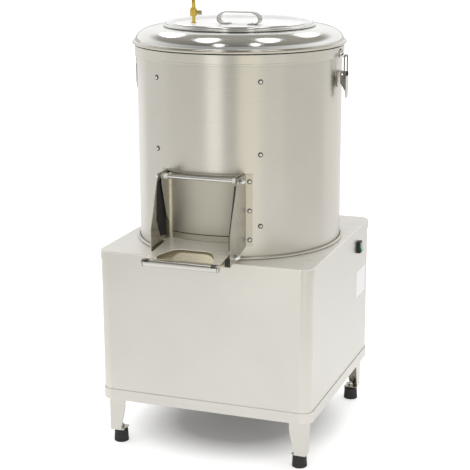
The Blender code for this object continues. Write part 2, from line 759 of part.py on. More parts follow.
def make_legs(machine):
    """Four folded corner legs with a plate at each end, and the rubber feet under them."""
    top = CABINET_BOTTOM - SEAT_GAP
    low = LEG_BOTTOM
    sheet = LEG_SHEET
    beside = CABINET_WIDTH / 2 - LEG_INSET
    ahead = CABINET_DEPTH / 2 - LEG_INSET
    names = {(-1, -1): "front_left", (1, -1): "front_right",
             (-1, 1): "rear_left", (1, 1): "rear_right"}
    angle_section = [(0, 0), (-LEG_TOP_WIDTH, 0), (-LEG_TOP_WIDTH, -sheet), (-sheet, -sheet),
                     (-sheet, -LEG_TOP_WIDTH), (0, -LEG_TOP_WIDTH)]
    beyond = LEG_TOP_WIDTH + OVERRUN
    taper = [(-beyond, top - LEG_TAPER_START), (-LEG_TOP_WIDTH, top - LEG_TAPER_START),
             (-LEG_FOOT_WIDTH, low), (-LEG_FOOT_WIDTH, low - OVERRUN), (-beyond, low - OVERRUN)]
    for (side, end), name in names.items():
        section = [(side * x, end * y) for x, y in angle_section]
        corner = (side * beside, end * ahead)
        middle = (*corner, (top + low) / 2)
        leg = add_part("leg_" + name, plate(section, top - low), STEEL, machine, middle)
        through = 2 * (sheet + OVERRUN)
        cut(leg, plate([(side * x, z) for x, z in taper], through, "XZ"), (*corner, 0))
        cut(leg, plate([(end * y, z) for y, z in taper], through, "YZ"), (*corner, 0))
        inset = sheet / 2
        end_plates = ((LEG_PLATE, low + inset + SEAT_GAP), (LEG_TOP_WIDTH, top - inset - SEAT_GAP))
        for width, level in end_plates:
            back = (width + inset) / 2
            end_plate = block((width - inset, width - inset, sheet))
            join(leg, end_plate, (side * (beside - back), end * (ahead - back), level))
        foot_place = (side * (beside - FOOT_INSET), end * (ahead - FOOT_INSET), 0)
        foot = turned(foot_profile(), FOOT_STEPS, closed=False)
        add_part("foot_" + name, foot, RUBBER, machine, foot_place)


def foot_profile():
    """A tapering rubber foot with a short neck that meets the leg's lower plate."""
    neck = LEG_BOTTOM - SEAT_GAP
    return [(0, neck), (FOOT_NECK_RADIUS, neck), (FOOT_NECK_RADIUS, FOOT_HEIGHT),
            (FOOT_TOP_RADIUS - FOOT_CHAMFER, FOOT_HEIGHT), (FOOT_TOP_RADIUS, FOOT_HEIGHT - FOOT_CHAMFER),
            (FOOT_RADIUS, FOOT_CHAMFER), (FOOT_RADIUS - FOOT_CHAMFER, 0), (0, 0)]


def make_drum(machine):
    """The drum with its discharge opening, the bead at its foot, its floor and its rough liner."""
    low = SEAT_GAP
    wall = [(DRUM_RADIUS, DRUM_TOP), (DRUM_RADIUS, low), (DRUM_INNER, low), (DRUM_INNER, DRUM_TOP)]
    drum = add_part("drum_shell", turned(wall, DRUM_STEPS), STEEL, machine, (0, 0, DECK_TOP))
    half_angle = math.asin((CHUTE_INNER - OPENING_MARGIN) / DRUM_RADIUS)
    opening = ring_sector(DRUM_INNER - LINER_THICKNESS - OVERRUN, DRUM_RADIUS + OVERRUN,
                          OPENING_SILL, OPENING_HEAD, half_angle)
    cut(drum, opening, (0, 0, DECK_TOP))
    centre = (DRUM_RADIUS + SEAT_GAP + BEAD_RADIUS, SEAT_GAP + BEAD_RADIUS)
    bead = arc(centre, BEAD_RADIUS, math.pi, -math.pi, BEAD_STEPS)[:-1]
    add_part("drum_base_bead", turned(bead, DRUM_STEPS), POLISHED, machine, (0, 0, DECK_TOP))
    edge = DRUM_INNER - SEAT_GAP
    bore = SPINDLE_RADIUS + BORE_CLEARANCE + HOUSING_LIP
    high = low + FLOOR_THICKNESS
    floor_ring = [(bore, high), (edge, high), (edge, low), (bore, low)]
    floor = add_part("drum_floor", turned(floor_ring, DRUM_STEPS), STEEL, machine, (0, 0, DECK_TOP))
    cut(floor, rod(DRAIN_RADIUS - DRAIN_WALL, DECK_SKIRT, HOLE_STEPS), (DRAIN_X, DRAIN_Y, DECK_TOP))
    outer = DRUM_INNER - SEAT_GAP
    inner = outer - LINER_THICKNESS
    skin = [(outer, LINER_TOP), (outer, LINER_BOTTOM), (inner, LINER_BOTTOM), (inner, LINER_TOP)]
    liner = add_part("abrasive_liner", turned(skin, DRUM_STEPS), GRIT, machine, (0, 0, DECK_TOP))
    cut(liner, opening, (0, 0, DECK_TOP))


def chute_outline():
    """The side plate of the chute seen from the side, as (y, z), with y running to the back."""
    rear = -front_of(DRUM_RADIUS + SEAT_GAP, CHUTE_INNER)
    shoulder = CHUTE_FRONT_TOP - CHUTE_SHOULDER
    return [(rear, CHUTE_TOP), (-shoulder, CHUTE_TOP),
            (-CHUTE_FRONT_TOP, CHUTE_TOP - CHUTE_SHOULDER), (-CHUTE_FRONT, CHUTE_BEND_LEVEL),
            (-CHUTE_FRONT, CHUTE_FRONT_BOTTOM), (rear, CHUTE_REAR_BOTTOM)]


def make_chute(machine):
    """Two side plates flanged on to the drum, and the lip over the opening."""
    place = (0, 0, DECK_TOP)
    wall = DRUM_RADIUS + SEAT_GAP
    fold_angle = math.asin(CHUTE_INNER / wall)
    half = CHUTE_FLANGE_WIDTH / wall / 2
    for side, name in ((-1, "left"), (1, "right")):
        middle = side * (CHUTE_INNER + SHEET / 2)
        flank = add_part("chute_side_" + name, plate(chute_outline(), SHEET, "YZ"), STEEL, machine,
                         (middle, 0, DECK_TOP))
        strip = ring_sector(wall, wall + SHEET, CHUTE_REAR_BOTTOM, CHUTE_TOP, half, FLANGE_STEPS,
                            side * (fold_angle + half))
        join(flank, strip, place)
        height = CHUTE_RETURN_TOP - CHUTE_FRONT_BOTTOM
        across = side * (CHUTE_OUTER - (CHUTE_RETURN_WIDTH + SHEET) / 2)
        fold = block((CHUTE_RETURN_WIDTH + SHEET, SHEET, height))
        level = DECK_TOP + CHUTE_FRONT_BOTTOM + height / 2
        join(flank, fold, (across, -CHUTE_FRONT + SHEET / 2, level))
        for y, level in ((UPPER_ROD_Y, UPPER_ROD_LEVEL), (LOWER_ROD_Y, lower_rod_level())):
            hole = rod(ROD_RADIUS + SEAT_GAP, CHUTE_INNER, ROD_STEPS, "X")
            cut(flank, hole, (middle, y, DECK_TOP + level))
    lip_half = math.asin((CHUTE_INNER - LIP_MARGIN) / DRUM_RADIUS)
    lip = ring_sector(wall, DRUM_RADIUS + LIP_REACH, CHUTE_TOP - SHEET, CHUTE_TOP, lip_half)
    add_part("chute_lip", lip, POLISHED, machine, place)


def tongue_level(y):
    """The height of the middle of the tongue's sheet above the deck, at a place along Y."""
    rear = -DOOR_OUTER
    share = (y - rear) / (GRIP_Y - rear)
    return TONGUE_REAR_LEVEL + (GRIP_LEVEL - TONGUE_REAR_LEVEL) * share


def lower_rod_level():
    """The lower rod lies just under the tongue, which rests on it."""
    return tongue_level(LOWER_ROD_Y) - TONGUE_SHEET / 2 - SEAT_GAP - ROD_RADIUS


def make_rods(machine):
    """The two rods between the chute's plates, with a domed nut on each end."""
    rods = (("upper", UPPER_ROD_Y, UPPER_ROD_LEVEL), ("lower", LOWER_ROD_Y, lower_rod_level()))
    seat = CHUTE_OUTER + SEAT_GAP
    for name, y, level in rods:
        bar = rod(ROD_RADIUS, 2 * (seat + NUT_HEIGHT - SEAT_GAP), ROD_STEPS, "X")
        add_part(name + "_rod", bar, POLISHED, machine, (0, y, DECK_TOP + level))
        for side, hand in ((-1, "left"), (1, "right")):
            place = (side * seat, y, DECK_TOP + level)
            make_domed_nut(machine, name + "_rod_nut_" + hand, side, place)


def make_domed_nut(machine, name, side, place):
    """A hexagonal nut with a domed end and a blind bore, set with its seat at a place."""
    turn = Matrix.Rotation(side * math.pi / 2, 4, "Y")
    flats = NUT_ACROSS_RADIUS * math.cos(math.pi / 6)
    base = NUT_HEIGHT - SHEET / 2
    quarter = arc((0, 0), flats, math.pi / 2, 0, DOME_INNER_STEPS)
    crown = [(across, base + height * NUT_DOME / flats) for across, height in quarter]
    dome = turned(crown + [(0, base)], NUT_DOME_STEPS, closed=False)
    dome.transform(turn)
    hexagon = rod(NUT_ACROSS_RADIUS, NUT_HEIGHT, 6, "Z", (0, 0, NUT_HEIGHT / 2))
    hexagon.transform(turn)
    nut = add_part(name, hexagon, POLISHED, machine, place)
    join(nut, dome, place)
    cut(nut, rod(ROD_RADIUS + SEAT_GAP, 2 * NUT_HEIGHT, ROD_STEPS, "X"), place)


def make_bush(door, name, side):
    """A nylon bush clipped into one ear of the door, which turns with it on the upper rod."""
    bore = ROD_RADIUS + RUNNING_GAP
    low = EAR_INNER - SEAT_GAP
    high = EAR_OUTER + SEAT_GAP
    end = CHUTE_INNER - RUNNING_GAP
    start = low - BUSH_INNER_LENGTH
    profile = [(BUSH_RADIUS, end), (BUSH_RADIUS, high), (BUSH_NECK_RADIUS, high),
               (BUSH_NECK_RADIUS, low), (BUSH_RADIUS, low), (BUSH_RADIUS, start),
               (bore, start), (bore, end)]
    spool = turned(profile, ROD_STEPS)
    spool.transform(Matrix.Rotation(side * math.pi / 2, 4, "Y"))
    add_part(name, spool, NYLON, door, (0, UPPER_ROD_Y, DECK_TOP + UPPER_ROD_LEVEL))


def make_door(door):
    """The curved door hung from the upper rod by its ears, with the tongue and its tube grip."""
    place = (0, 0, DECK_TOP)
    half_angle = math.asin(DOOR_HALF_WIDTH / DOOR_INNER)
    leaf = ring_sector(DOOR_INNER, DOOR_OUTER, DOOR_BOTTOM, DOOR_TOP, half_angle)
    panel = add_part("door_panel", leaf, STEEL, door, place)
    root = -front_of(DOOR_INNER, DOOR_HALF_WIDTH) - SHEET / 2
    edge = root - EAR_FLANGE
    ear = [(root, DOOR_BOTTOM), (root, DOOR_TOP), (-EAR_NOTCH, DOOR_TOP),
           (-EAR_NOTCH - EAR_FLANGE / 2, EAR_TOP), (-EAR_FRONT + EAR_FLANGE, EAR_TOP),
           (-EAR_FRONT, EAR_TOP - EAR_FLANGE), (-EAR_FRONT, EAR_SHOULDER_LEVEL),
           (-EAR_WAIST, EAR_KNEE_LEVEL), (edge, EAR_TAPER_LEVEL), (edge, DOOR_BOTTOM)]
    for side, hand in ((-1, "left"), (1, "right")):
        join(panel, plate(ear, SHEET, "YZ"), (side * (EAR_INNER + SHEET / 2), 0, DECK_TOP))
        make_bush(door, "door_bush_" + hand, side)
    bore = rod(BUSH_NECK_RADIUS + SEAT_GAP, 2 * CHUTE_INNER, ROD_STEPS, "X")
    cut(panel, bore, (0, UPPER_ROD_Y, DECK_TOP + UPPER_ROD_LEVEL))
    make_tongue(door)
    half = GRIP_HALF_LENGTH
    end = half + GRIP_CAP_THICKNESS
    inner = GRIP_RADIUS - GRIP_WALL
    right = [(GRIP_VENT_RADIUS, half), (GRIP_VENT_RADIUS, end), (GRIP_RADIUS, end),
             (GRIP_CAP_RADIUS, end - GRIP_CAP_THICKNESS / 2), (GRIP_CAP_RADIUS, half), (GRIP_RADIUS, half)]
    left = [(radius, -along) for radius, along in reversed(right)]
    tube = turned([(inner, half)] + right + left + [(inner, -half)], GRIP_STEPS)
    tube.transform(Matrix.Rotation(math.pi / 2, 4, "Y"))
    add_part("door_grip", tube, POLISHED, door, (0, GRIP_Y, DECK_TOP + GRIP_LEVEL))


def make_tongue(door):
    """The sloping plate in front of the door, open in the middle so that a hand goes round the grip."""
    half_angle = math.asin(TONGUE_HALF_WIDTH / DOOR_OUTER)
    front_angle = -math.pi / 2
    rear_arc = arc((0, 0), DOOR_OUTER + SEAT_GAP, front_angle + half_angle, front_angle - half_angle,
                   TONGUE_STEPS)
    front = GRIP_Y + GRIP_RADIUS + SEAT_GAP
    notch = [(-HAND_HOLE_FRONT_HALF, front), (-HAND_HOLE_FRONT_HALF, -HAND_HOLE_SHOULDER),
             (-HAND_HOLE_REAR_HALF, -HAND_HOLE_REAR), (HAND_HOLE_REAR_HALF, -HAND_HOLE_REAR),
             (HAND_HOLE_FRONT_HALF, -HAND_HOLE_SHOULDER), (HAND_HOLE_FRONT_HALF, front)]
    inner = [notch[0]]
    for before, here, after in zip(notch, notch[1:], notch[2:]):
        inner += bend(before, here, after, HAND_HOLE_CORNER, HAND_HOLE_STEPS)
    inner.append(notch[-1])
    left = [(-TONGUE_HALF_WIDTH, -TONGUE_FLARE_START), (-TONGUE_FRONT_HALF_WIDTH, front)]
    right = [(TONGUE_FRONT_HALF_WIDTH, front), (TONGUE_HALF_WIDTH, -TONGUE_FLARE_START)]
    outline = rear_arc + left + inner + right
    sheet = plate(outline, TONGUE_SHEET)
    slope = (tongue_level(GRIP_Y) - tongue_level(-DOOR_OUTER)) / (GRIP_Y + DOOR_OUTER)
    shear = Matrix(((1, 0, 0, 0), (0, 1, 0, 0), (0, slope, 1, tongue_level(0)), (0, 0, 0, 1)))
    sheet.transform(shear)
    add_part("door_tongue", sheet, STEEL, door, (0, 0, DECK_TOP))


def dome_points(offset=0.0, steps=DOME_STEPS):
    """The lid's curve from its crest out and down to its rim, a quarter of an ellipse."""
    across = DOME_OUTER - DOME_CREST_RADIUS
    points = []
    for step in range(steps + 1):
        turn = math.pi / 2 * step / steps
        points.append((DOME_CREST_RADIUS + (across - offset) * math.sin(turn),
                       DOME_BASE + (DOME_RISE - offset) * math.cos(turn)))
    return points


def make_lid(lid):
    """The domed lid with its rolled rim and skirt, the cover plate on it and the rubber seal inside."""
    place = (0, 0, DECK_TOP)
    crest = DOME_BASE + DOME_RISE
    rim_middle = (RIM_TOP + RIM_BOTTOM) / 2
    rim_radius = (RIM_TOP - RIM_BOTTOM) / 2
    bead = arc((RIM_OUTER - rim_radius, rim_middle), rim_radius, math.pi / 2, -math.pi / 2, RIM_STEPS)
    inner = SKIRT_OUTER - LID_SHEET
    profile = [(LID_HOLE_RADIUS, crest)] + dome_points() + bead
    profile += [(SKIRT_OUTER, RIM_BOTTOM), (SKIRT_OUTER, SKIRT_BOTTOM)]
    profile += [(inner, SKIRT_BOTTOM), (inner, RIM_TOP)]
    profile += list(reversed(dome_points(LID_SHEET, DOME_INNER_STEPS)))[1:]
    profile.append((LID_HOLE_RADIUS, crest - LID_SHEET))
    add_part("lid_dome", turned(profile, LID_STEPS), POLISHED, lid, place)
    seal_low = DRUM_TOP + SEAT_GAP
    seal_outer = inner - SEAT_GAP
    seal = [(seal_outer, RIM_TOP - SEAT_GAP), (seal_outer, seal_low),
            (seal_outer - SEAL_WIDTH, seal_low), (seal_outer - SEAL_WIDTH, RIM_TOP - SEAT_GAP)]
    add_part("lid_seal", turned(seal, LID_STEPS), RUBBER, lid, place)
    cover = add_part("lid_cover", turned(cover_profile(), LID_STEPS, closed=False), POLISHED, lid, place)
    hole = rod(VALVE_NIPPLE_RADIUS + SEAT_GAP, VALVE_BODY_LOW)
    cut(cover, hole, (VALVE_X, 0, DECK_TOP + COVER_SEAT))


def cover_profile():
    """The dished cover plate, from its middle out over a raised bead and down to a second bead."""
    crest = COVER_SEAT + COVER_RIM_HEIGHT
    centre = (COVER_RIM_RADIUS, crest - COVER_BEAD_RADIUS)
    bead = arc(centre, COVER_BEAD_RADIUS, COVER_BEAD_START, 0, COVER_BEAD_STEPS)
    foot_radius = COVER_FOOT_HEIGHT / 2
    foot_centre = (COVER_FOOT_RADIUS - foot_radius, COVER_SEAT + foot_radius)
    foot = arc(foot_centre, foot_radius, math.pi / 2, -math.pi / 2, COVER_FOOT_STEPS)
    hollow = arc(centre, COVER_BEAD_RADIUS - COVER_SHEET, 0, COVER_BEAD_START, COVER_HOLLOW_STEPS)
    under = [(COVER_FLOOR_RADIUS + COVER_SHEET, COVER_SEAT), (0, COVER_SEAT)]
    top = [(0, COVER_FLOOR), (COVER_FLOOR_RADIUS, COVER_FLOOR)]
    return top + bead + foot + [(hollow[0][0], COVER_SEAT)] + hollow + under


def strap_outline():
    """The bent strap of the lid's handle seen from the front, with its feet tucked in."""
    right = strap_end(0)
    inner_right = strap_end(HANDLE_STRAP)
    left = [(-x, z) for x, z in reversed(right)]
    inner_left = [(-x, z) for x, z in reversed(inner_right)]
    foot = HANDLE_FOOT_HALF - HANDLE_PAD
    return (right + left + [(-foot, 0), (-foot, HANDLE_STRAP)] + list(reversed(inner_left))
            + list(reversed(inner_right)) + [(foot, HANDLE_STRAP), (foot, 0)])


def strap_end(offset):
    """The curve of the strap from its right foot out to its widest place and up to its flat top."""
    points = []
    quarters = ((HANDLE_FOOT_HALF, HANDLE_BULGE, -math.pi / 2, 0),
                (HANDLE_TOP_HALF, HANDLE_HEIGHT - HANDLE_BULGE, 0, math.pi / 2))
    for centre, rise, start, end in quarters:
        reach = HANDLE_HALF_SPAN - centre
        for across, height in arc((0, 0), 1, start, end, HANDLE_STEPS):
            points.append((centre + (reach - offset) * across, HANDLE_BULGE + (rise - offset) * height))
    return points[:HANDLE_STEPS] + points[HANDLE_STEPS + 1:]


def make_lid_handle(lid):
    """The strap handle in the middle of the cover, standing on its tucked-in feet."""
    base = DECK_TOP + COVER_FLOOR + SEAT_GAP
    blank = plate(strap_outline(), HANDLE_WIDTH, "XZ")
    strap = add_part("lid_handle", blank, POLISHED, lid, (0, 0, base))
    softened = strap.modifiers.new("edges", "BEVEL")
    softened.width = HANDLE_EDGE
    softened.segments = 1
    softened.limit_method = "ANGLE"
    softened.angle_limit = EDGE_ANGLE


def make_valve(lid, tap):
    """The brass water valve: a nipple and lock nut, a body, a barbed inlet pipe and a turning tap."""
    base = COVER_FLOOR + SEAT_GAP
    pipe = VALVE_PIPE_RADIUS
    profile = [(0, VALVE_PIPE_TOP), (pipe - 2 * VALVE_BARB, VALVE_PIPE_TOP)]
    ridge = VALVE_PIPE_TOP
    step = (VALVE_PIPE_TOP - VALVE_BODY_HIGH) / (2 * VALVE_BARB_COUNT)
    for _ in range(VALVE_BARB_COUNT):
        profile += [(pipe + VALVE_BARB, ridge - step / 2), (pipe - VALVE_BARB, ridge - step)]
        ridge -= step
    shoulder = VALVE_BODY_RADIUS - VALVE_BARB
    profile += [(pipe, ridge - step / 2), (pipe, VALVE_BODY_HIGH), (shoulder, VALVE_BODY_HIGH),
                (VALVE_BODY_RADIUS, VALVE_BODY_HIGH - VALVE_BARB),
                (VALVE_BODY_RADIUS, VALVE_BODY_LOW + VALVE_BARB), (shoulder, VALVE_BODY_LOW),
                (VALVE_NIPPLE_RADIUS, VALVE_BODY_LOW), (VALVE_NIPPLE_RADIUS, -VALVE_TAIL), (0, -VALVE_TAIL)]
    place = (VALVE_X, 0, DECK_TOP + base)
    valve = add_part("water_valve", turned(profile, VALVE_STEPS, closed=False), BRASS, lid, place)
    join(valve, rod(VALVE_NUT_RADIUS, VALVE_NUT_HEIGHT, 6, "Z", (0, 0, VALVE_NUT_HEIGHT / 2)), place)
    reach = VALVE_BOSS_REACH
    join(valve, rod(VALVE_BOSS_RADIUS, reach, VALVE_STEPS, "X", (reach / 2, 0, VALVE_TAP_LEVEL)), place)
    middle = (tap_x() + TAP_LENGTH / 2, 0, tap_level())
    knob = add_part("valve_tap", rod(TAP_RADIUS, TAP_LENGTH, TAP_STEPS, "X"), DARK_STEEL, tap, middle)
    flute = rod(TAP_FLUTE_RADIUS, TAP_LENGTH + OVERRUN, TAP_FLUTE_STEPS, "X")
    places = []
    for index in range(TAP_FLUTES):
        turn = 2 * math.pi * index / TAP_FLUTES
        places.append(Matrix.Translation((0, TAP_RADIUS * math.cos(turn), TAP_RADIUS * math.sin(turn))))
    cut(knob, repeated(flute, places), middle)


def tap_x():
    return VALVE_X + VALVE_BOSS_REACH + SEAT_GAP


def tap_level():
    return DECK_TOP + COVER_FLOOR + SEAT_GAP + VALVE_TAP_LEVEL


def make_latch(side, name, machine, lid, lever_body, bail_body):
    """One toggle latch: base with ears and pin, lever, wire bail, and the hook on the lid's skirt."""
    base = add_part("latch_base_" + name, latch_base_plate(side), STEEL, machine, (0, 0, DECK_TOP))
    outline = rounded(rectangle(LATCH_EAR_REACH / 2, LATCH_EAR_RISE), LATCH_EAR_CORNER)
    ear = plate(outline, LATCH_EAR_SHEET, "XZ")
    reach = DRUM_RADIUS + SEAT_GAP + LATCH_EAR_REACH / 2 + LATCH_BASE_SHEET / 2
    across = LATCH_EAR_HALF - LATCH_EAR_SHEET / 2
    for end in (-1, 1):
        join(base, ear, (side * reach, end * across, DECK_TOP + LATCH_PIVOT_LEVEL))
    pivot = (side * (DRUM_RADIUS + LATCH_PIVOT_REACH), 0, DECK_TOP + LATCH_PIVOT_LEVEL)
    join(base, rod(LATCH_PIN_RADIUS, 2 * LEVER_HALF_WIDTH - SEAT_GAP, LATCH_STEPS, "Y"), pivot)
    make_lever(side, name, lever_body, pivot)
    make_bail(side, name, bail_body)
    make_keeper(side, name, lid)


def latch_base_plate(side):
    """The plate that is riveted to the drum's side."""
    level = LATCH_BASE_HIGH - LATCH_BASE_HEIGHT / 2
    centre = (side * (DRUM_RADIUS + SEAT_GAP + LATCH_BASE_SHEET / 2), 0, level)
    return block((LATCH_BASE_SHEET, 2 * LATCH_BASE_HALF, LATCH_BASE_HEIGHT), centre)


def make_lever(side, name, lever_body, pivot):
    """The folded lever: a channel over the base's ears, whose cheeks run out into a tapering tip."""
    depth = LEVER_FACE_REACH - LEVER_CHEEK_BACK
    height = LEVER_TOP - LEVER_TIP
    middle = side * (DRUM_RADIUS + LEVER_FACE_REACH - depth / 2)
    level = DECK_TOP + LEVER_TIP + height / 2
    blank = block((depth, 2 * LEVER_HALF_WIDTH, height))
    lever = add_part("latch_lever_" + name, blank, STEEL, lever_body, (middle, 0, level))
    inner = DRUM_RADIUS + LEVER_FACE_REACH - LEVER_SHEET
    outer = DRUM_RADIUS + LEVER_FACE_REACH + OVERRUN
    back = DRUM_RADIUS + LEVER_CHEEK_BACK - OVERRUN
    above = LEVER_TOP + OVERRUN
    below = LEVER_TIP - OVERRUN
    hollow = [(back, below), (inner, below), (inner, LEVER_WEB_TOP), (outer, LEVER_WEB_TOP),
              (outer, above), (back, above)]
    between = 2 * (LEVER_HALF_WIDTH - LEVER_SHEET)
    cut(lever, plate([(side * x, z) for x, z in hollow], between, "XZ"), (0, 0, DECK_TOP))
    heel = BAIL_PIVOT_LEVEL - BAIL_WIRE_RADIUS - LEVER_HEEL
    slant = [(inner, LEVER_CHEEK_LOW), (back, heel), (back, below), (inner, below)]
    length = 2 * LEVER_HALF_WIDTH + OVERRUN
    cut(lever, plate([(side * x, z) for x, z in slant], length, "XZ"), (0, 0, DECK_TOP))
    wide = LEVER_HALF_WIDTH + OVERRUN
    taper = [(wide, LEVER_CHEEK_LOW), (LEVER_HALF_WIDTH, LEVER_CHEEK_LOW),
             (LEVER_TIP_HALF_WIDTH, LEVER_TIP), (LEVER_TIP_HALF_WIDTH, below), (wide, below)]
    for end in (-1, 1):
        cut(lever, plate([(end * y, z) for y, z in taper], 2 * depth, "YZ"), (middle, 0, DECK_TOP))
    cut(lever, rod(LATCH_PIN_RADIUS + RUNNING_GAP, length, LATCH_STEPS, "Y"), pivot)
    bail_hole = rod(BAIL_WIRE_RADIUS + RUNNING_GAP, length, LATCH_STEPS, "Y")
    cut(lever, bail_hole, (side * (DRUM_RADIUS + BAIL_REACH), 0, DECK_TOP + BAIL_PIVOT_LEVEL))


def bail_half():
    """Half the distance between the bail's two legs, which pass outside the lever's cheeks."""
    return LEVER_HALF_WIDTH + BAIL_CLEARANCE + BAIL_WIRE_RADIUS


def make_bail(side, name, bail_body):
    """The wire bail, whose ends turn in through the lever's cheeks."""
    half = bail_half()
    end = LEVER_HALF_WIDTH - LEVER_SHEET
    route = [(-end, BAIL_PIVOT_LEVEL), (-half, BAIL_PIVOT_LEVEL), (-half, BAIL_TOP - BAIL_CORNER)]
    across = half - BAIL_CORNER
    high = BAIL_TOP - BAIL_CORNER
    route += arc((-across, high), BAIL_CORNER, math.pi, math.pi / 2, BAIL_STEPS)[1:]
    route += arc((across, high), BAIL_CORNER, math.pi / 2, 0, BAIL_STEPS)
    route += [(half, BAIL_PIVOT_LEVEL), (end, BAIL_PIVOT_LEVEL)]
    wire = bpy.data.curves.new("bail", "CURVE")
    wire.dimensions = "3D"
    wire.bevel_depth = BAIL_WIRE_RADIUS
    wire.bevel_resolution = 2
    wire.use_fill_caps = True
    spline = wire.splines.new("POLY")
    spline.points.add(len(route) - 1)
    for point, (across, level) in zip(spline.points, route):
        point.co = (0, across, level, 1)
    scratch = bpy.data.objects.new("bail", wire)
    bpy.context.scene.collection.objects.link(scratch)
    mesh = smooth(weld(evaluated_mesh(scratch)))
    mesh.transform(Matrix.Translation((side * (DRUM_RADIUS + BAIL_REACH), 0, 0)))
    add_part("latch_bail_" + name, mesh, STEEL, bail_body, (0, 0, DECK_TOP))


def make_keeper(side, name, lid):
    """The hook on the lid's skirt, a bent plate that is open upward."""
    wall = SKIRT_OUTER + SEAT_GAP
    tip = DRUM_RADIUS + BAIL_REACH - BAIL_WIRE_RADIUS - SEAT_GAP
    outline = [(wall, KEEPER_TOP), (wall, KEEPER_BOTTOM), (tip, KEEPER_BOTTOM), (tip, KEEPER_TIP),
               (tip - KEEPER_SHEET, KEEPER_TIP), (tip - KEEPER_SHEET, KEEPER_BOTTOM + KEEPER_SHEET),
               (wall + KEEPER_SHEET, KEEPER_BOTTOM + KEEPER_SHEET), (wall + KEEPER_SHEET, KEEPER_TOP)]
    hook = plate([(side * x, z) for x, z in outline], 2 * KEEPER_HALF, "XZ")
    add_part("latch_keeper_" + name, hook, POLISHED, lid, (0, 0, DECK_TOP))


def make_peeling_disc(rotor):
    """The spinning plate: a rough disc raised in waves that throw the potatoes, with its sweeps."""
    top = DISC_BOTTOM + DISC_THICKNESS
    bore = SPINDLE_RADIUS + SEAT_GAP
    hub_top = top + HUB_HEIGHT
    profile = [(0, hub_top), (HUB_RADIUS / 2, hub_top), (HUB_RADIUS, hub_top - HUB_HEIGHT / 2),
               (HUB_RADIUS, top)]
    ring = (DISC_RADIUS - HUB_RADIUS) / DISC_RINGS
    profile += [(HUB_RADIUS + ring * step, top) for step in range(1, DISC_RINGS)]
    profile.append((DISC_RADIUS, top))
    profile += [(DISC_RADIUS, DISC_BOTTOM), (bore, DISC_BOTTOM), (bore, top), (0, top)]
    mesh = turned(profile, DISC_STEPS, closed=False)
    for vertex in mesh.vertices:
        radius = math.hypot(vertex.co.x, vertex.co.y)
        if vertex.co.z > top - SEAT_GAP and radius > HUB_RADIUS + SEAT_GAP:
            angle = math.atan2(vertex.co.y, vertex.co.x)
            share = (radius - HUB_RADIUS) / (DISC_RADIUS - HUB_RADIUS)
            vertex.co.z += WAVE_HEIGHT * share * max(0.0, math.cos(WAVE_COUNT * angle)) ** 2
    disc = add_part("peeling_disc", mesh, GRIT, rotor, (0, 0, DECK_TOP))
    sweep = block((SWEEP_LENGTH, SWEEP_WIDTH, SWEEP_HEIGHT + SHEET))
    level = DECK_TOP + DISC_BOTTOM - SWEEP_HEIGHT / 2 + SHEET / 2
    middle = DISC_RADIUS - SWEEP_LENGTH / 2 - SWEEP_WIDTH
    for side in (-1, 1):
        join(disc, sweep, (side * middle, 0, level))


def make_spindle(rotor):
    """The spindle, and the big pulley at its lower end."""
    top = DISC_BOTTOM + DISC_THICKNESS - SEAT_GAP
    length = top - SPINDLE_BOTTOM
    bar = rod(SPINDLE_RADIUS, length, BORE_STEPS, "Z", (0, 0, SPINDLE_BOTTOM + length / 2))
    add_part("spindle", bar, POLISHED, rotor, (0, 0, DECK_TOP))
    profile = pulley_profile(DRIVEN_PITCH_RADIUS, SPINDLE_RADIUS + SEAT_GAP, PULLEY_BOSS)
    pulley = turned(profile, PULLEY_STEPS)
    add_part("driven_pulley", pulley, CAST, rotor, (0, 0, DECK_TOP + PULLEY_LEVEL))


def pulley_profile(pitch, bore, boss):
    """A V-belt pulley: rim with its groove, a thinner web where there is room, and a boss."""
    outside = pitch + GROOVE_OUTSIDE
    root = outside - GROOVE_DEPTH
    half = PULLEY_WIDTH / 2
    profile = [(outside, half), (outside, GROOVE_TOP_WIDTH / 2), (root, GROOVE_BASE_WIDTH / 2),
               (root, -GROOVE_BASE_WIDTH / 2), (outside, -GROOVE_TOP_WIDTH / 2), (outside, -half)]
    rim = root - PULLEY_RIM
    web = PULLEY_WEB / 2
    if rim > boss + GROOVE_DEPTH:
        profile += [(rim, -half), (rim, -web), (boss, -web), (boss, -half), (bore, -half),
                    (bore, half), (boss, half), (boss, web), (rim, web), (rim, half)]
    else:
        profile += [(bore, -half), (bore, half)]
    return profile


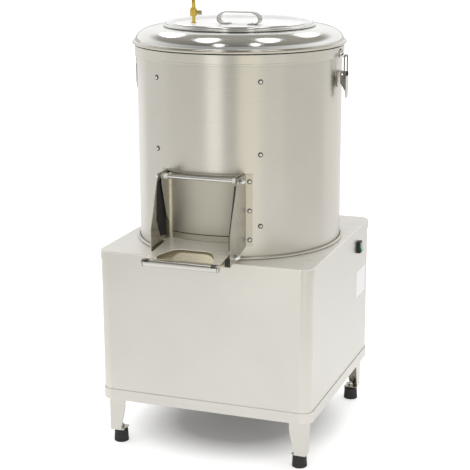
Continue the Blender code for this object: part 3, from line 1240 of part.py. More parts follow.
def make_bearing_housing(machine):
    """The housing under the drum that carries the spindle, with its two bearings and its seal."""
    cavity = BEARING_RADIUS + SEAT_GAP
    shoulder = BEARING_RADIUS - HOUSING_LIP
    flange_top = DECK_UNDERSIDE - SEAT_GAP
    flange_low = flange_top - HOUSING_FLANGE_THICKNESS
    upper_low = flange_top - HOUSING_LIP - BEARING_HEIGHT
    lower_low = HOUSING_BOTTOM + HOUSING_LIP
    shelf_high = upper_low - SEAT_GAP
    shelf_low = lower_low + BEARING_HEIGHT + SEAT_GAP
    profile = [(HOUSING_RADIUS, 0), (HOUSING_RADIUS, flange_top), (HOUSING_FLANGE_RADIUS, flange_top),
               (HOUSING_FLANGE_RADIUS, flange_low), (HOUSING_RADIUS, flange_low),
               (HOUSING_RADIUS, HOUSING_BOTTOM), (cavity, HOUSING_BOTTOM), (cavity, shelf_low),
               (shoulder, shelf_low), (shoulder, shelf_high), (cavity, shelf_high), (cavity, 0)]
    add_part("bearing_housing", turned(profile, BORE_STEPS), CAST, machine, (0, 0, DECK_TOP))
    race = SPINDLE_RADIUS + SEAT_GAP
    seal_low = upper_low + BEARING_HEIGHT + SEAT_GAP
    rings = (("spindle_bearing_upper", upper_low, BEARING_HEIGHT, POLISHED),
             ("spindle_bearing_lower", lower_low, BEARING_HEIGHT, POLISHED),
             ("spindle_seal", seal_low, SEAL_HEIGHT, RUBBER))
    for name, level, height, finish in rings:
        ring = [(BEARING_RADIUS, height), (BEARING_RADIUS, 0), (race, 0), (race, height)]
        add_part(name, turned(ring, BORE_STEPS), finish, machine, (0, 0, DECK_TOP + level))


def belt_path():
    """The closed line that the belt's outer face follows round both pulleys, in plan."""
    big = DRIVEN_PITCH_RADIUS
    small = MOTOR_PITCH_RADIUS
    lean = math.asin((big - small) / MOTOR_OFFSET)
    path = arc((0, 0), big, math.pi - lean, 2 * math.pi + lean, BELT_BIG_STEPS)
    path += arc((0, MOTOR_OFFSET), small, lean, math.pi - lean, BELT_SMALL_STEPS)
    return path


def make_belt(machine):
    """The V-belt: a wedge section swept along the closed path round the two pulleys."""
    section = bpy.data.curves.new("belt_section", "CURVE")
    section.dimensions = "2D"
    wedge = section.splines.new("POLY")
    wedge.points.add(3)
    inside = BELT_OUTSIDE - BELT_HEIGHT
    corners = [(-BELT_OUTSIDE, -BELT_TOP_WIDTH / 2), (-BELT_OUTSIDE, BELT_TOP_WIDTH / 2),
               (-inside, BELT_BASE_WIDTH / 2), (-inside, -BELT_BASE_WIDTH / 2)]
    for point, (out, level) in zip(wedge.points, corners):
        point.co = (out, level, 0, 1)
    wedge.use_cyclic_u = True
    section_guide = bpy.data.objects.new("belt_section", section)
    bpy.context.scene.collection.objects.link(section_guide)
    line = bpy.data.curves.new("belt", "CURVE")
    line.dimensions = "2D"
    line.bevel_mode = "OBJECT"
    line.bevel_object = section_guide
    spline = line.splines.new("POLY")
    route = belt_path()
    spline.points.add(len(route) - 1)
    for point, (x, y) in zip(spline.points, route):
        point.co = (x, y, 0, 1)
    spline.use_cyclic_u = True
    scratch = bpy.data.objects.new("belt", line)
    bpy.context.scene.collection.objects.link(scratch)
    mesh = weld(evaluated_mesh(scratch))
    bpy.data.objects.remove(section_guide, do_unlink=True)
    add_part("v_belt", smooth(mesh), RUBBER, machine, (0, 0, DECK_TOP + PULLEY_LEVEL))


def make_motor(machine, motor_shaft):
    """The motor that stands shaft up behind the spindle, and the hanger that carries it."""
    place = (0, MOTOR_OFFSET, DECK_TOP)
    low = MOTOR_TOP - MOTOR_HEIGHT
    shaft_bore = MOTOR_SHAFT_RADIUS + BORE_CLEARANCE
    shaft_bottom = MOTOR_TOP - MOTOR_BELL
    bell = MOTOR_RADIUS - MOTOR_FIN_HEIGHT
    profile = [(MOTOR_FLANGE_RADIUS, MOTOR_TOP), (MOTOR_FLANGE_RADIUS, MOTOR_TOP - HANGER_SHEET),
               (bell, MOTOR_TOP - MOTOR_BELL / 2), (bell, low + MOTOR_BELL), (MOTOR_RADIUS, low + MOTOR_BELL),
               (MOTOR_RADIUS, low + MOTOR_FIN_HEIGHT), (bell, low), (0, low), (0, shaft_bottom),
               (shaft_bore, shaft_bottom), (shaft_bore, MOTOR_TOP)]
    motor = add_part("motor", turned(profile, MOTOR_STEPS), PAINT, machine, place)
    fin_low = low + MOTOR_BELL - SHEET
    fin_high = MOTOR_TOP - MOTOR_BELL / 2
    fin = block((2 * MOTOR_FIN_HEIGHT, MOTOR_FIN_WIDTH, fin_high - fin_low))
    places = []
    for index in range(MOTOR_FIN_COUNT):
        turn = Matrix.Rotation(math.pi * (2 * index + 1) / MOTOR_FIN_COUNT, 4, "Z")
        places.append(turn @ Matrix.Translation((bell, 0, (fin_high + fin_low) / 2)))
    join(motor, repeated(fin, places), place)
    make_hanger(machine)
    bottom = shaft_bottom + SEAT_GAP
    half = PULLEY_WIDTH / 2
    outline = pulley_profile(MOTOR_PITCH_RADIUS, 0, MOTOR_SHAFT_RADIUS)
    solid = [point for point in outline if point[0] > 0]
    shaft_low = bottom - PULLEY_LEVEL
    solid += [(MOTOR_SHAFT_RADIUS, -half), (MOTOR_SHAFT_RADIUS, shaft_low), (0, shaft_low)]
    pulley = turned([(0, half)] + solid, PULLEY_STEPS, closed=False)
    add_part("motor_pulley", pulley, CAST, motor_shaft, (0, MOTOR_OFFSET, DECK_TOP + PULLEY_LEVEL))


def make_hanger(machine):
    """The folded bracket that hangs the motor under the deck, with the pulley inside it."""
    wide = HANGER_HALF_WIDTH
    rim = wide + HANGER_FLANGE
    high = DECK_UNDERSIDE - SEAT_GAP
    low = MOTOR_TOP + SEAT_GAP
    sheet = HANGER_SHEET
    right = [(wide, low), (wide, high - sheet), (rim, high - sheet), (rim, high),
             (wide - sheet, high), (wide - sheet, low + sheet)]
    left = [(-x, z) for x, z in reversed(right)]
    hanger = add_part("motor_hanger", plate(right + left, HANGER_DEPTH, "XZ"), STEEL, machine,
                      (0, MOTOR_OFFSET, DECK_TOP))
    through = 2 * (sheet + OVERRUN)
    cut(hanger, rod(HANGER_BORE_RADIUS, through, HOLE_STEPS), (0, MOTOR_OFFSET, DECK_TOP + low))


def make_drain(machine):
    """The waste pipe from the drum's floor, down through the deck and out at the left side."""
    centre = (DRAIN_X - DRAIN_BEND, DRAIN_LEVEL + DRAIN_BEND)
    route = [(DRAIN_X, 0)] + arc(centre, DRAIN_BEND, 0, -math.pi / 2, DRAIN_BEND_STEPS)
    route.append((-DRAIN_LEFT, DRAIN_LEVEL))
    line = bpy.data.curves.new("drain", "CURVE")
    line.dimensions = "3D"
    line.bevel_depth = DRAIN_RADIUS
    line.bevel_resolution = 3
    spline = line.splines.new("POLY")
    spline.points.add(len(route) - 1)
    for point, (x, z) in zip(spline.points, route):
        point.co = (x, 0, z, 1)
    scratch = bpy.data.objects.new("drain", line)
    bpy.context.scene.collection.objects.link(scratch)
    tube = smooth(evaluated_mesh(scratch))
    pipe = add_part("drain_pipe", tube, STEEL, machine, (0, DRAIN_Y, DECK_TOP))
    wall = pipe.modifiers.new("wall", "SOLIDIFY")
    wall.thickness = DRAIN_WALL
    wall.offset = -1
    bore = DRAIN_RADIUS + SEAT_GAP
    profile = [(DRAIN_COLLAR_RADIUS - DRAIN_WALL, DRAIN_COLLAR_THICKNESS),
               (DRAIN_COLLAR_RADIUS, DRAIN_COLLAR_THICKNESS / 2), (DRAIN_COLLAR_RADIUS, 0),
               (bore, 0), (bore, DRAIN_COLLAR_THICKNESS)]
    collar = turned(profile, HOLE_STEPS)
    collar.transform(Matrix.Rotation(-math.pi / 2, 4, "Y"))
    face = -CABINET_WIDTH / 2 + SHEET
    add_part("drain_collar", collar, RUBBER, machine, (face, DRAIN_Y, DECK_TOP + DRAIN_LEVEL))


def make_switch(machine, rocker_body):
    """The rocker switch on the right side: a rimmed housing through the sheet, and its rocker."""
    face = CABINET_WIDTH / 2 - SHEET
    place = (face, SWITCH_Y, DECK_TOP + SWITCH_LEVEL)
    rim = rounded(rectangle(SWITCH_WIDTH / 2, SWITCH_HEIGHT / 2), SHEET)
    reach = SWITCH_RIM_REACH + SHEET
    housing = add_part("switch_housing", plate(rim, reach, "YZ"), BLACK_PLASTIC, machine,
                       (face + reach / 2, SWITCH_Y, DECK_TOP + SWITCH_LEVEL))
    inner = (SWITCH_WIDTH - 2 * SWITCH_WALL, SWITCH_HEIGHT - 2 * SWITCH_WALL)
    back = block((SWITCH_BACK_DEPTH + SHEET, *inner), (-(SWITCH_BACK_DEPTH - SHEET) / 2, 0, 0))
    join(housing, back, place)
    pocket = block((ROCKER_REACH + OVERRUN, inner[0] - SHEET, inner[1] - SHEET))
    cut(housing, pocket, (face + ROCKER_REACH / 2, SWITCH_Y, DECK_TOP + SWITCH_LEVEL))
    dip = ROCKER_ARM * math.tan(ROCKER_TILT)
    outline = arc((0, 0), ROCKER_ROOT_RADIUS, *ROCKER_ROOT_ANGLES, ROCKER_STEPS)
    outline += [(ROCKER_FACE - SHEET, ROCKER_ARM), (ROCKER_FACE, ROCKER_ARM), (ROCKER_FACE - dip, 0),
                (ROCKER_FACE, -ROCKER_ARM), (ROCKER_FACE - SHEET, -ROCKER_ARM)]
    paddle = plate(outline, inner[0] - SHEET - 2 * RUNNING_GAP, "XZ")
    paddle.transform(Matrix.Rotation(-ROCKER_TILT, 4, "Y"))
    add_part("switch_rocker", paddle, GREEN_PLASTIC, rocker_body, rocker_pivot())


def rocker_pivot():
    return (ROCKER_PIVOT, SWITCH_Y, DECK_TOP + SWITCH_LEVEL)


def make_gland(machine):
    """The gland in the rear wall that the supply cable goes through."""
    face = CABINET_DEPTH / 2 - SHEET
    back = gland_thread() - SEAT_GAP
    reach = GLAND_REACH + SHEET
    mouth = GLAND_RADIUS - GLAND_TAPER
    flange = GLAND_RADIUS + SHEET
    profile = [(GLAND_BORE_RADIUS, reach), (mouth - SHEET / 2, reach), (mouth, reach - SHEET / 2),
               (GLAND_RADIUS, reach / 2), (flange, GLAND_FLANGE), (flange, 0), (back, 0),
               (back, -GLAND_REACH / 2), (GLAND_BORE_RADIUS, -GLAND_REACH / 2)]
    gland = turned(profile, GLAND_STEPS)
    gland.transform(Matrix.Rotation(-math.pi / 2, 4, "X"))
    add_part("cable_gland", gland, BLACK_PLASTIC, machine, (GLAND_X, face, DECK_TOP + GLAND_LEVEL))


def build():
    """Every body of the machine with its pieces, the whole centred on the origin."""
    machine = body("machine")
    machine.location = ((DRAIN_LEFT - SWITCH_RIGHT) / 2, (GRIP_REACH - GLAND_BACK) / 2, 0)
    lid = body("lid", (0, 0, DECK_TOP + RIM_BOTTOM), machine)
    tap = body("tap", (tap_x(), 0, tap_level()), lid)
    door = body("door", (0, UPPER_ROD_Y, DECK_TOP + UPPER_ROD_LEVEL), machine)
    rocker = body("rocker", rocker_pivot(), machine)
    rotor = body("rotor", (0, 0, DECK_TOP), machine)
    motor_shaft = body("motor_shaft", (0, MOTOR_OFFSET, DECK_TOP + PULLEY_LEVEL), machine)
    make_deck(machine)
    make_cabinet(machine)
    make_base_frame(machine)
    make_rear_panel(machine)
    make_legs(machine)
    make_drum(machine)
    make_bearing_housing(machine)
    make_belt(machine)
    make_motor(machine, motor_shaft)
    make_drain(machine)
    make_switch(machine, rocker)
    make_gland(machine)
    make_chute(machine)
    make_rods(machine)
    make_door(door)
    make_lid(lid)
    make_lid_handle(lid)
    make_valve(lid, tap)
    make_peeling_disc(rotor)
    make_spindle(rotor)
    for side, name in ((-1, "left"), (1, "right")):
        pivot = (side * (DRUM_RADIUS + LATCH_PIVOT_REACH), 0, DECK_TOP + LATCH_PIVOT_LEVEL)
        lever = body("lever_" + name, pivot, machine)
        bail_pivot = (side * (DRUM_RADIUS + BAIL_REACH), 0, DECK_TOP + BAIL_PIVOT_LEVEL)
        bail = body("bail_" + name, bail_pivot, lever)
        make_latch(side, name, machine, lid, lever, bail)


build()
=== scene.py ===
# %% [markdown]
# A potato peeler machine, dressed for a studio picture.
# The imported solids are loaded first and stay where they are: every new piece is made round them.
# The machine is satin stainless sheet with a polished lid, so most of this lesson is about metal.

# %% Load the frame and note its size
import math

import bmesh
import bpy
from mathutils import Matrix, Quaternion, Vector


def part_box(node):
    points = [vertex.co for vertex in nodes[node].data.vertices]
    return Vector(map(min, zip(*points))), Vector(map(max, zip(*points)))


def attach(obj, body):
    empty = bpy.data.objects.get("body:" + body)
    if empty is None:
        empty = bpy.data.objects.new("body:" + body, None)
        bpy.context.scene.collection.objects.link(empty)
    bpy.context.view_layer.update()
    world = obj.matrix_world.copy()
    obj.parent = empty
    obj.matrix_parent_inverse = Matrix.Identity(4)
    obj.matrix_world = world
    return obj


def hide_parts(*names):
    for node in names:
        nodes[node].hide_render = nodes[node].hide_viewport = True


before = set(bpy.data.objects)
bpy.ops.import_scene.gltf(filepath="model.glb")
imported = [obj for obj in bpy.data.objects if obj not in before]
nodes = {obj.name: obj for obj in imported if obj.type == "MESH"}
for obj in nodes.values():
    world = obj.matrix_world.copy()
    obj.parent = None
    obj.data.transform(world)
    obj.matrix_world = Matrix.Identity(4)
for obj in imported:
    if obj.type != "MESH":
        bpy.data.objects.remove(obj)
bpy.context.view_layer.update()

scene = bpy.context.scene
print("solids loaded:", len(nodes))

# %% [markdown]
# Nearly everything on this machine is set out from one line, the upright axis of the drum.
# The line could be typed in as numbers, but a change to the solids would then leave the pieces behind.
# Reading it from the drum's own box keeps them together, so all lengths below start from that line
# and from the top of the deck, which is the flat roof of the cabinet.

# %% Find the drum's axis and the deck
drum_low, drum_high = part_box("drum_shell")
axis_x = (drum_low.x + drum_high.x) / 2
axis_y = (drum_low.y + drum_high.y) / 2
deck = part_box("deck_plate")[1].z
drum_radius = (drum_high.x - drum_low.x) / 2
seat = 0.0003
sheet = 0.0015
to_world = Matrix.Translation((axis_x, axis_y, deck))
print("drum radius", round(drum_radius, 4), "deck", round(deck, 4))

# %% [markdown]
# The camera stands to the right of the machine and looks down at it a little, through a long lens.
# A lens of about 100 mm keeps upright edges nearly parallel, as a catalogue picture wants.
# The camera could be aimed with a Track To constraint, but a matrix made from its own
# forward and right directions says exactly where it looks, and keeps its small roll.

# %% Set the camera
camera_yaw = math.radians(20.072)
camera_pitch = math.radians(14.564)
camera_roll = math.radians(-0.235)
camera_place = Vector((axis_x + 1.0563, axis_y - 2.9278, 1.2935))

forward = Vector((-math.sin(camera_yaw) * math.cos(camera_pitch),
                  math.cos(camera_yaw) * math.cos(camera_pitch), -math.sin(camera_pitch)))
level_right = Vector((math.cos(camera_yaw), math.sin(camera_yaw), 0))
level_up = level_right.cross(forward)
right = level_right * math.cos(camera_roll) + level_up * math.sin(camera_roll)
up = level_up * math.cos(camera_roll) - level_right * math.sin(camera_roll)

camera_data = bpy.data.cameras.new("camera")
camera_data.lens = 99.37
camera_data.sensor_width = 36
camera = bpy.data.objects.new("camera", camera_data)
turned = Matrix((right, up, -forward)).transposed().to_4x4()
camera.matrix_world = Matrix.Translation(camera_place) @ turned
scene.collection.objects.link(camera)
scene.camera = camera
print("camera", [round(v, 3) for v in camera_place])

# %% [markdown]
# Every material below is a small tree of nodes. Setting each socket in a line of its own would hide
# the idea, so one helper adds a node and fills its inputs: with a number, or with a link where the
# value is another node's output. A noise stays near its middle, so it is stretched before use.

# %% Helpers for materials
materials = {}


def fill(tree, target, inputs):
    """Set the inputs of a node, or link those whose value is another node's output."""
    for key, value in inputs.items():
        if isinstance(value, bpy.types.NodeSocket):
            tree.links.new(value, target.inputs[key])
        else:
            target.inputs[key].default_value = value


def add_node(tree, kind, inputs={}, **settings):
    made = tree.nodes.new(kind)
    for key, value in settings.items():
        setattr(made, key, value)
    fill(tree, made, inputs)
    return made


def start_material(name, colour, roughness, metallic):
    made = bpy.data.materials.new(name)
    made.use_nodes = True
    materials[name] = made
    tree, shader = made.node_tree, made.node_tree.nodes["Principled BSDF"]
    fill(tree, shader, {"Base Color": (*colour, 1), "Roughness": roughness, "Metallic": metallic})
    return tree, shader


def noise(tree, scale, detail=3, stretch=(1, 1, 1)):
    """A noise in metres on the piece's own coordinates."""
    place = add_node(tree, "ShaderNodeTexCoord").outputs["Object"]
    mapping = add_node(tree, "ShaderNodeMapping", {"Vector": place, "Scale": stretch})
    inputs = {"Vector": mapping.outputs["Vector"], "Scale": scale, "Detail": detail}
    return add_node(tree, "ShaderNodeTexNoise", inputs).outputs["Fac"]


def remap(tree, value, low, high, start=0.3, end=0.7):
    """Stretch a noise to the range that a socket needs."""
    inputs = {"Value": value, "From Min": start, "From Max": end, "To Min": low, "To Max": high}
    return add_node(tree, "ShaderNodeMapRange", inputs).outputs["Result"]


def blend(tree, value, first, last, start=0.3, end=0.7):
    """Blend between two colours by a value."""
    ramp = add_node(tree, "ShaderNodeValToRGB", {"Fac": value})
    for stop, place, colour in zip(ramp.color_ramp.elements, (start, end), (first, last)):
        stop.position = place
        stop.color = (*colour, 1)
    return ramp.outputs["Color"]


def tint(tree, value, colour, first, last, start=0.3, end=0.7):
    """Vary one colour between two shares of itself."""
    shades = [[channel * share for channel in colour] for share in (first, last)]
    return blend(tree, value, *shades, start, end)


def bump(tree, value, depth):
    """Push the surface in and out by a noise, depth in metres."""
    inputs = {"Height": value, "Distance": depth, "Strength": 1}
    return add_node(tree, "ShaderNodeBump", inputs).outputs["Normal"]


def combine(tree, operation, first, second):
    return add_node(tree, "ShaderNodeMath", {0: first, 1: second}, operation=operation).outputs["Value"]


# %% [markdown]
# Satin stainless sheet is ground with a fine belt, which leaves short scratches all one way.
# An image of scratches would do, but it would repeat and it wouldn't travel with the model.
# A noise whose scale is stretched along one axis gives scratches at their real size,
# a second and much larger noise gives the faint clouds of handling and rolling,
# and both move the roughness and a very shallow bump. The metal's colour hardly changes.

# %% Ground stainless sheet, with its grain along a chosen direction
upright_grain = (1200, 1200, 12)
level_grain = (9, 9, 1500)
along_x_grain = (10, 1400, 1400)
fine_scratch = 0.0000003


def ground_steel(name, colour, roughness, grain, scratch=fine_scratch, spread=0.6, metallic=1):
    tree, shader = start_material(name, colour, roughness, metallic)
    round_axis = add_node(tree, "ShaderNodeTangent", direction_type="RADIAL", axis="Z")
    scratches = noise(tree, 1, 4, grain)
    clouds = noise(tree, 5)
    fill(tree, shader, {
        "Anisotropic": spread,
        "Anisotropic Rotation": 0 if grain == upright_grain else 0.25,
        "Tangent": round_axis.outputs["Tangent"],
        "Base Color": tint(tree, clouds, colour, 0.965, 1.03),
        "Roughness": combine(tree, "ADD", remap(tree, scratches, roughness - 0.03, roughness + 0.03),
                             remap(tree, clouds, -0.02, 0.03)),
        "Normal": bump(tree, scratches, scratch)})


ground_steel("cabinet_steel", (0.665, 0.650, 0.608), 0.33, level_grain, 2 * fine_scratch)
ground_steel("bend_steel", (0.675, 0.655, 0.605), 0.19, level_grain)
# A paler, less metallic copy of the cabinet's steel for upward faces: painted top light.
ground_steel("painted_top_light_steel", (0.880, 0.862, 0.815), 0.30, along_x_grain, 2 * fine_scratch, 0.3, 0.45)
ground_steel("drum_steel", (0.615, 0.595, 0.550), 0.30, level_grain, 0.0000004)
ground_steel("lid_skirt_steel", (0.650, 0.630, 0.580), 0.28, level_grain, fine_scratch / 2)
ground_steel("chute_steel", (0.545, 0.520, 0.455), 0.27, upright_grain, spread=0.85)
# A darker copy of the steel for the door, which stands back in the chute: painted shade.
ground_steel("painted_shade_door_steel", (0.500, 0.478, 0.415), 0.37, upright_grain, spread=0.8, metallic=0.85)
# A pale, half-metallic copy of the steel for the door's side bends: a painted highlight.
ground_steel("painted_highlight_fold_steel", (0.80, 0.76, 0.64), 0.26, upright_grain, metallic=0.6)
# A paler, hardly metallic copy of the steel for the tongue, which faces the sky: painted light.
ground_steel("painted_light_tongue_steel", (0.80, 0.765, 0.66), 0.26, along_x_grain, spread=0.3, metallic=0.35)
ground_steel("drain_steel", (0.56, 0.54, 0.49), 0.28, level_grain)
ground_steel("tray_steel", (0.600, 0.550, 0.420), 0.26, along_x_grain, metallic=0.8)
# A dark copy of the steel for the legs' inward sides: painted shade under the cabinet.
ground_steel("painted_shade_steel", (0.32, 0.28, 0.22), 0.26, upright_grain)
ground_steel("latch_steel", (0.55, 0.54, 0.51), 0.20, upright_grain, 2 * fine_scratch, 0)
print("ground steels:", sorted(materials))

# %% [markdown]
# The lid, the rods and the bead round the drum are polished. Polished steel isn't a perfect mirror:
# pressing leaves broad waves and wiping leaves faint swirls, which bend and soften what it reflects.
# A large, shallow bump makes the waves, and a fine noise in the roughness makes the wiping marks.

# %% Polished and plated metals
pressed_wave = 0.00016


def polished(name, colour, roughness, wave=0.00003):
    tree, shader = start_material(name, colour, roughness, 1)
    waves = noise(tree, 9, 2)
    wiping = noise(tree, 160, 4, (1, 1, 3))
    fill(tree, shader, {"Base Color": tint(tree, waves, colour, 0.97, 1.02),
                        "Roughness": remap(tree, wiping, roughness * 0.75, roughness * 1.35),
                        "Normal": bump(tree, waves, wave)})


polished("polished_steel", (0.77, 0.765, 0.75), 0.12, pressed_wave)
# A darker, warmer copy of the polished steel for the lid's rim: a painted reflection of the floor and deck.
polished("painted_reflection_rim_steel", (0.60, 0.57, 0.50), 0.15, pressed_wave)
polished("handle_steel", (0.36, 0.345, 0.315), 0.16)
polished("grip_steel", (0.66, 0.65, 0.615), 0.17)
polished("zinc_steel", (0.30, 0.30, 0.31), 0.34)
# Dark zinc plating, also used on the latch levers' cheeks as painted shade.
polished("dark_zinc_and_painted_shade", (0.16, 0.155, 0.14), 0.30)
polished("brass", (0.66, 0.49, 0.105), 0.20)
polished("tap_metal", (0.46, 0.43, 0.30), 0.20)

# %% [markdown]
# Rubber, plastics, paint and cast iron don't shine like the sheet. Each has a grain of its own:
# rubber has fine pits and a dusty bloom, moulded plastic a slight orange peel, and cast iron the
# roughness of the sand that it was cast in. The polished cover is seen along its surface, where a mirror
# would show only its own rim, so it is drawn as a pale, hardly metallic sheet: a painted sheen.

# %% Rubber, plastic, paint and iron
def plain_surface(name, colour, roughness, scale, depth, metallic=0, spread=0.12, uneven=0.15):
    tree, shader = start_material(name, colour, roughness, metallic)
    fine = noise(tree, scale, 4)
    fill(tree, shader, {"Base Color": tint(tree, noise(tree, 22), colour, 1 - uneven, 1 + uneven),
                        "Roughness": remap(tree, fine, roughness - spread / 2, roughness + spread / 2),
                        "Normal": bump(tree, fine, depth)})
    return shader


plain_surface("black_rubber", (0.022, 0.022, 0.023), 0.68, 900, 0.00005)
plain_surface("nylon", (0.80, 0.80, 0.77), 0.42, 500, 0.00001, uneven=0.04)
plain_surface("black_plastic", (0.017, 0.017, 0.018), 0.38, 1200, 0.00001)
green = plain_surface("green_plastic", (0.012, 0.34, 0.16), 0.22, 700, 0.000006, uneven=0.06)
green.inputs["Coat Weight"].default_value = 0.5
plain_surface("white_label", (0.97, 0.97, 0.98), 0.35, 800, 0.000004, uneven=0.01)
# A near-white, hardly metallic sheet for the polished cover: a painted sheen.
plain_surface("painted_sheen_cover", (0.975, 0.975, 0.98), 0.30, 300, 0.000003, 0.15, 0.03, 0.01)
plain_surface("sealing_fibre", (0.085, 0.035, 0.025), 0.55, 900, 0.00003)
plain_surface("motor_paint", (0.13, 0.15, 0.17), 0.42, 420, 0.00002, uneven=0.08)
plain_surface("cast_iron", (0.16, 0.16, 0.16), 0.55, 620, 0.00014, 0.8)

# %% [markdown]
# The liner and the disc are coated with hard grit. A noise would look like felt, so a Voronoi pattern
# is used instead, because grit is made of separate grains.

# %% Grit for the disc and the liner
def grit(name, colour, grain_size):
    tree, shader = start_material(name, colour, 0.85, 0)
    place = add_node(tree, "ShaderNodeTexCoord").outputs["Object"]
    pattern = add_node(tree, "ShaderNodeTexVoronoi", {"Vector": place, "Scale": 1 / grain_size})
    grains = pattern.outputs["Distance"]
    fill(tree, shader, {"Base Color": tint(tree, grains, colour, 1.9, 0.55, 0.1, 0.7),
                        "Roughness": remap(tree, grains, 0.45, 0.95, 0, 0.6),
                        "Normal": bump(tree, grains, -grain_size / 2)})


grit("abrasive_disc", (0.115, 0.105, 0.095), 0.0026)
grit("abrasive_sheet", (0.135, 0.125, 0.11), 0.0014)
print("finishes:", len(materials))

# %% [markdown]
# Every piece ends the same way, so that step is written once. Its doubles are merged, its faces are
# turned outwards, it is smoothed except at real edges, and it rides on the body that carries it.
# A machine part never has a knife edge. The Bevel operator rounds all the edges that are sharper
# than a limit, and those tiny rounds are what catch the light in a picture.

# %% Helpers that shape and finish a piece
def moved(work, matrix):
    bmesh.ops.transform(work, matrix=matrix, verts=work.verts)
    return work


def bevel_edges(work, edges, width, segments):
    bmesh.ops.bevel(work, geom=edges, offset=width, offset_type="OFFSET", segments=segments,
                    profile=0.5, affect="EDGES", clamp_overlap=True, material=-1)


def soften(work, width, segments=2, sharp=30):
    """Round every edge that is sharper than an angle."""
    bevel_edges(work, [edge for edge in work.edges if len(edge.link_faces) == 2
                       and edge.calc_face_angle(0) > math.radians(sharp)], width, segments)
    return work


def to_object(name, work, finish):
    mesh = bpy.data.meshes.new(name)
    work.to_mesh(mesh)
    work.free()
    mesh.materials.append(materials[finish])
    made = bpy.data.objects.new(name, mesh)
    scene.collection.objects.link(made)
    return made


def piece(name, work, body, finish, replaced=(), smooth=38, local=True):
    """Make a bmesh into a piece of the machine; local says that it is set out from the drum's axis."""
    if local:
        moved(work, to_world)
    bmesh.ops.remove_doubles(work, verts=work.verts, dist=0.00001)
    bmesh.ops.recalc_face_normals(work, faces=work.faces)
    made = to_object(name, work, finish)
    made.data.shade_smooth()
    made.data.set_sharp_from_angle(angle=math.radians(smooth))
    weighted = made.modifiers.new("even shading", "WEIGHTED_NORMAL")
    weighted.keep_sharp = True
    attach(made, body)
    if replaced:
        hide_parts(*replaced)
    print(name, len(made.data.polygons), "faces")
    return made


def paint(made, finish, chosen):
    """Give the chosen faces of a piece a finish of their own."""
    made.data.materials.append(materials[finish])
    for face in made.data.polygons:
        if chosen(face):
            face.material_index = len(made.data.materials) - 1


def add(work, other, matrix=Matrix()):
    """Add a bmesh to another, moved by a matrix, and free it."""
    mesh = bpy.data.meshes.new("part")
    moved(other, matrix).to_mesh(mesh)
    other.free()
    work.from_mesh(mesh)
    bpy.data.meshes.remove(mesh)
    return work


# %% [markdown]
# Many pieces are plain folded plates, and their solids already have the right shape. A solid comes in
# as loose triangles, so a copy of it is merged, its flat faces are joined up again with a limited
# dissolve, and then its edges are rounded. That is quicker than drawing each plate twice,
# and the piece can't drift away from the solid that it stands for.

# %% Helpers that dress a copy of a solid
def copy_of(solid):
    work = bmesh.new()
    work.from_mesh(nodes[solid].data)
    bmesh.ops.remove_doubles(work, verts=work.verts, dist=0.00002)
    bmesh.ops.dissolve_limit(work, angle_limit=math.radians(0.5), verts=work.verts, edges=work.edges)
    return work


def dress(solid, body, finish, width):
    """Round the edges of a copy of a solid and let it stand for the solid."""
    work = soften(copy_of(solid), width)
    return piece(solid.replace("_", "-"), work, body, finish, [solid], local=False)


def box_place(solid, turn=Matrix()):
    """The middle of a solid's box as a matrix, and the sizes of the box."""
    low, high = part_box(solid)
    return Matrix.Translation((low + high) / 2) @ turn, high - low


# %% [markdown]
# Round pieces are turned on a lathe or spun over a form, so they are made with the Spin operator:
# an outline of radius and height goes once round the axis. Spinning 144 steps keeps a half-metre
# drum round even in a close view, and the outline's curves are made from short arcs. A few outlines
# come back again and again: a pin, a band, a bar with two like ends, and a domed head.

# %% Helpers for turned pieces
drum_steps = 144
core = 0.0001
along_x = Matrix.Rotation(math.pi / 2, 4, "Y")
along_y = Matrix.Rotation(-math.pi / 2, 4, "X")
facing_right = Matrix(((0, 0, 1, 0), (1, 0, 0, 0), (0, 1, 0, 0), (0, 0, 0, 1)))


def at(x, y, z, turn=Matrix()):
    return Matrix.Translation((x, y, z)) @ turn


def about_z(angle):
    return Matrix.Rotation(math.radians(angle), 4, "Z")


def curve(centre, radius, start, end, steps):
    """Points of an arc, from one angle in degrees to another."""
    angles = [math.radians(start + (end - start) * step / steps) for step in range(steps + 1)]
    return [(centre[0] + radius * math.cos(a), centre[1] + radius * math.sin(a)) for a in angles]


def lathe(profile, steps=drum_steps, closed=True, angle=360):
    """Spin an outline of (radius, height) points about the upright axis."""
    work = bmesh.new()
    ring = [work.verts.new((radius, 0, height)) for radius, height in profile]
    edges = [work.edges.new(pair) for pair in zip(ring, ring[1:])]
    if closed:
        edges.append(work.edges.new((ring[-1], ring[0])))
    bmesh.ops.spin(work, geom=ring + edges, cent=(0, 0, 0), axis=(0, 0, 1), angle=math.radians(angle),
                   steps=steps, use_merge=angle == 360)
    bmesh.ops.remove_doubles(work, verts=work.verts, dist=0.000005)
    bmesh.ops.recalc_face_normals(work, faces=work.faces)
    return work


def pin(radius, low, high, chamfer, inner=core):
    """The outline of a short pin or washer, with the edge taken off its top."""
    return [(inner, high), (radius - chamfer, high), (radius, high - chamfer), (radius, low), (inner, low)]


def band(inner, outer, low, high):
    return [(inner, high), (outer, high), (outer, low), (inner, low)]


def both_ends(end):
    """An outline with the same end at its top and its foot."""
    return end + [(radius, -height) for radius, height in reversed(end)]


def dome_head(radius, height, angles):
    """Points down the side of a domed head, angles in degrees from its top."""
    return [(radius * math.sin(math.radians(a)), height * math.cos(math.radians(a))) for a in angles]


def arc_band(outline, steps, angle, start):
    """A band that goes only part of the way round, with its two ends closed."""
    work = lathe(outline, steps, angle=angle)
    bmesh.ops.holes_fill(work, edges=work.edges, sides=4)
    return moved(work, about_z(start))


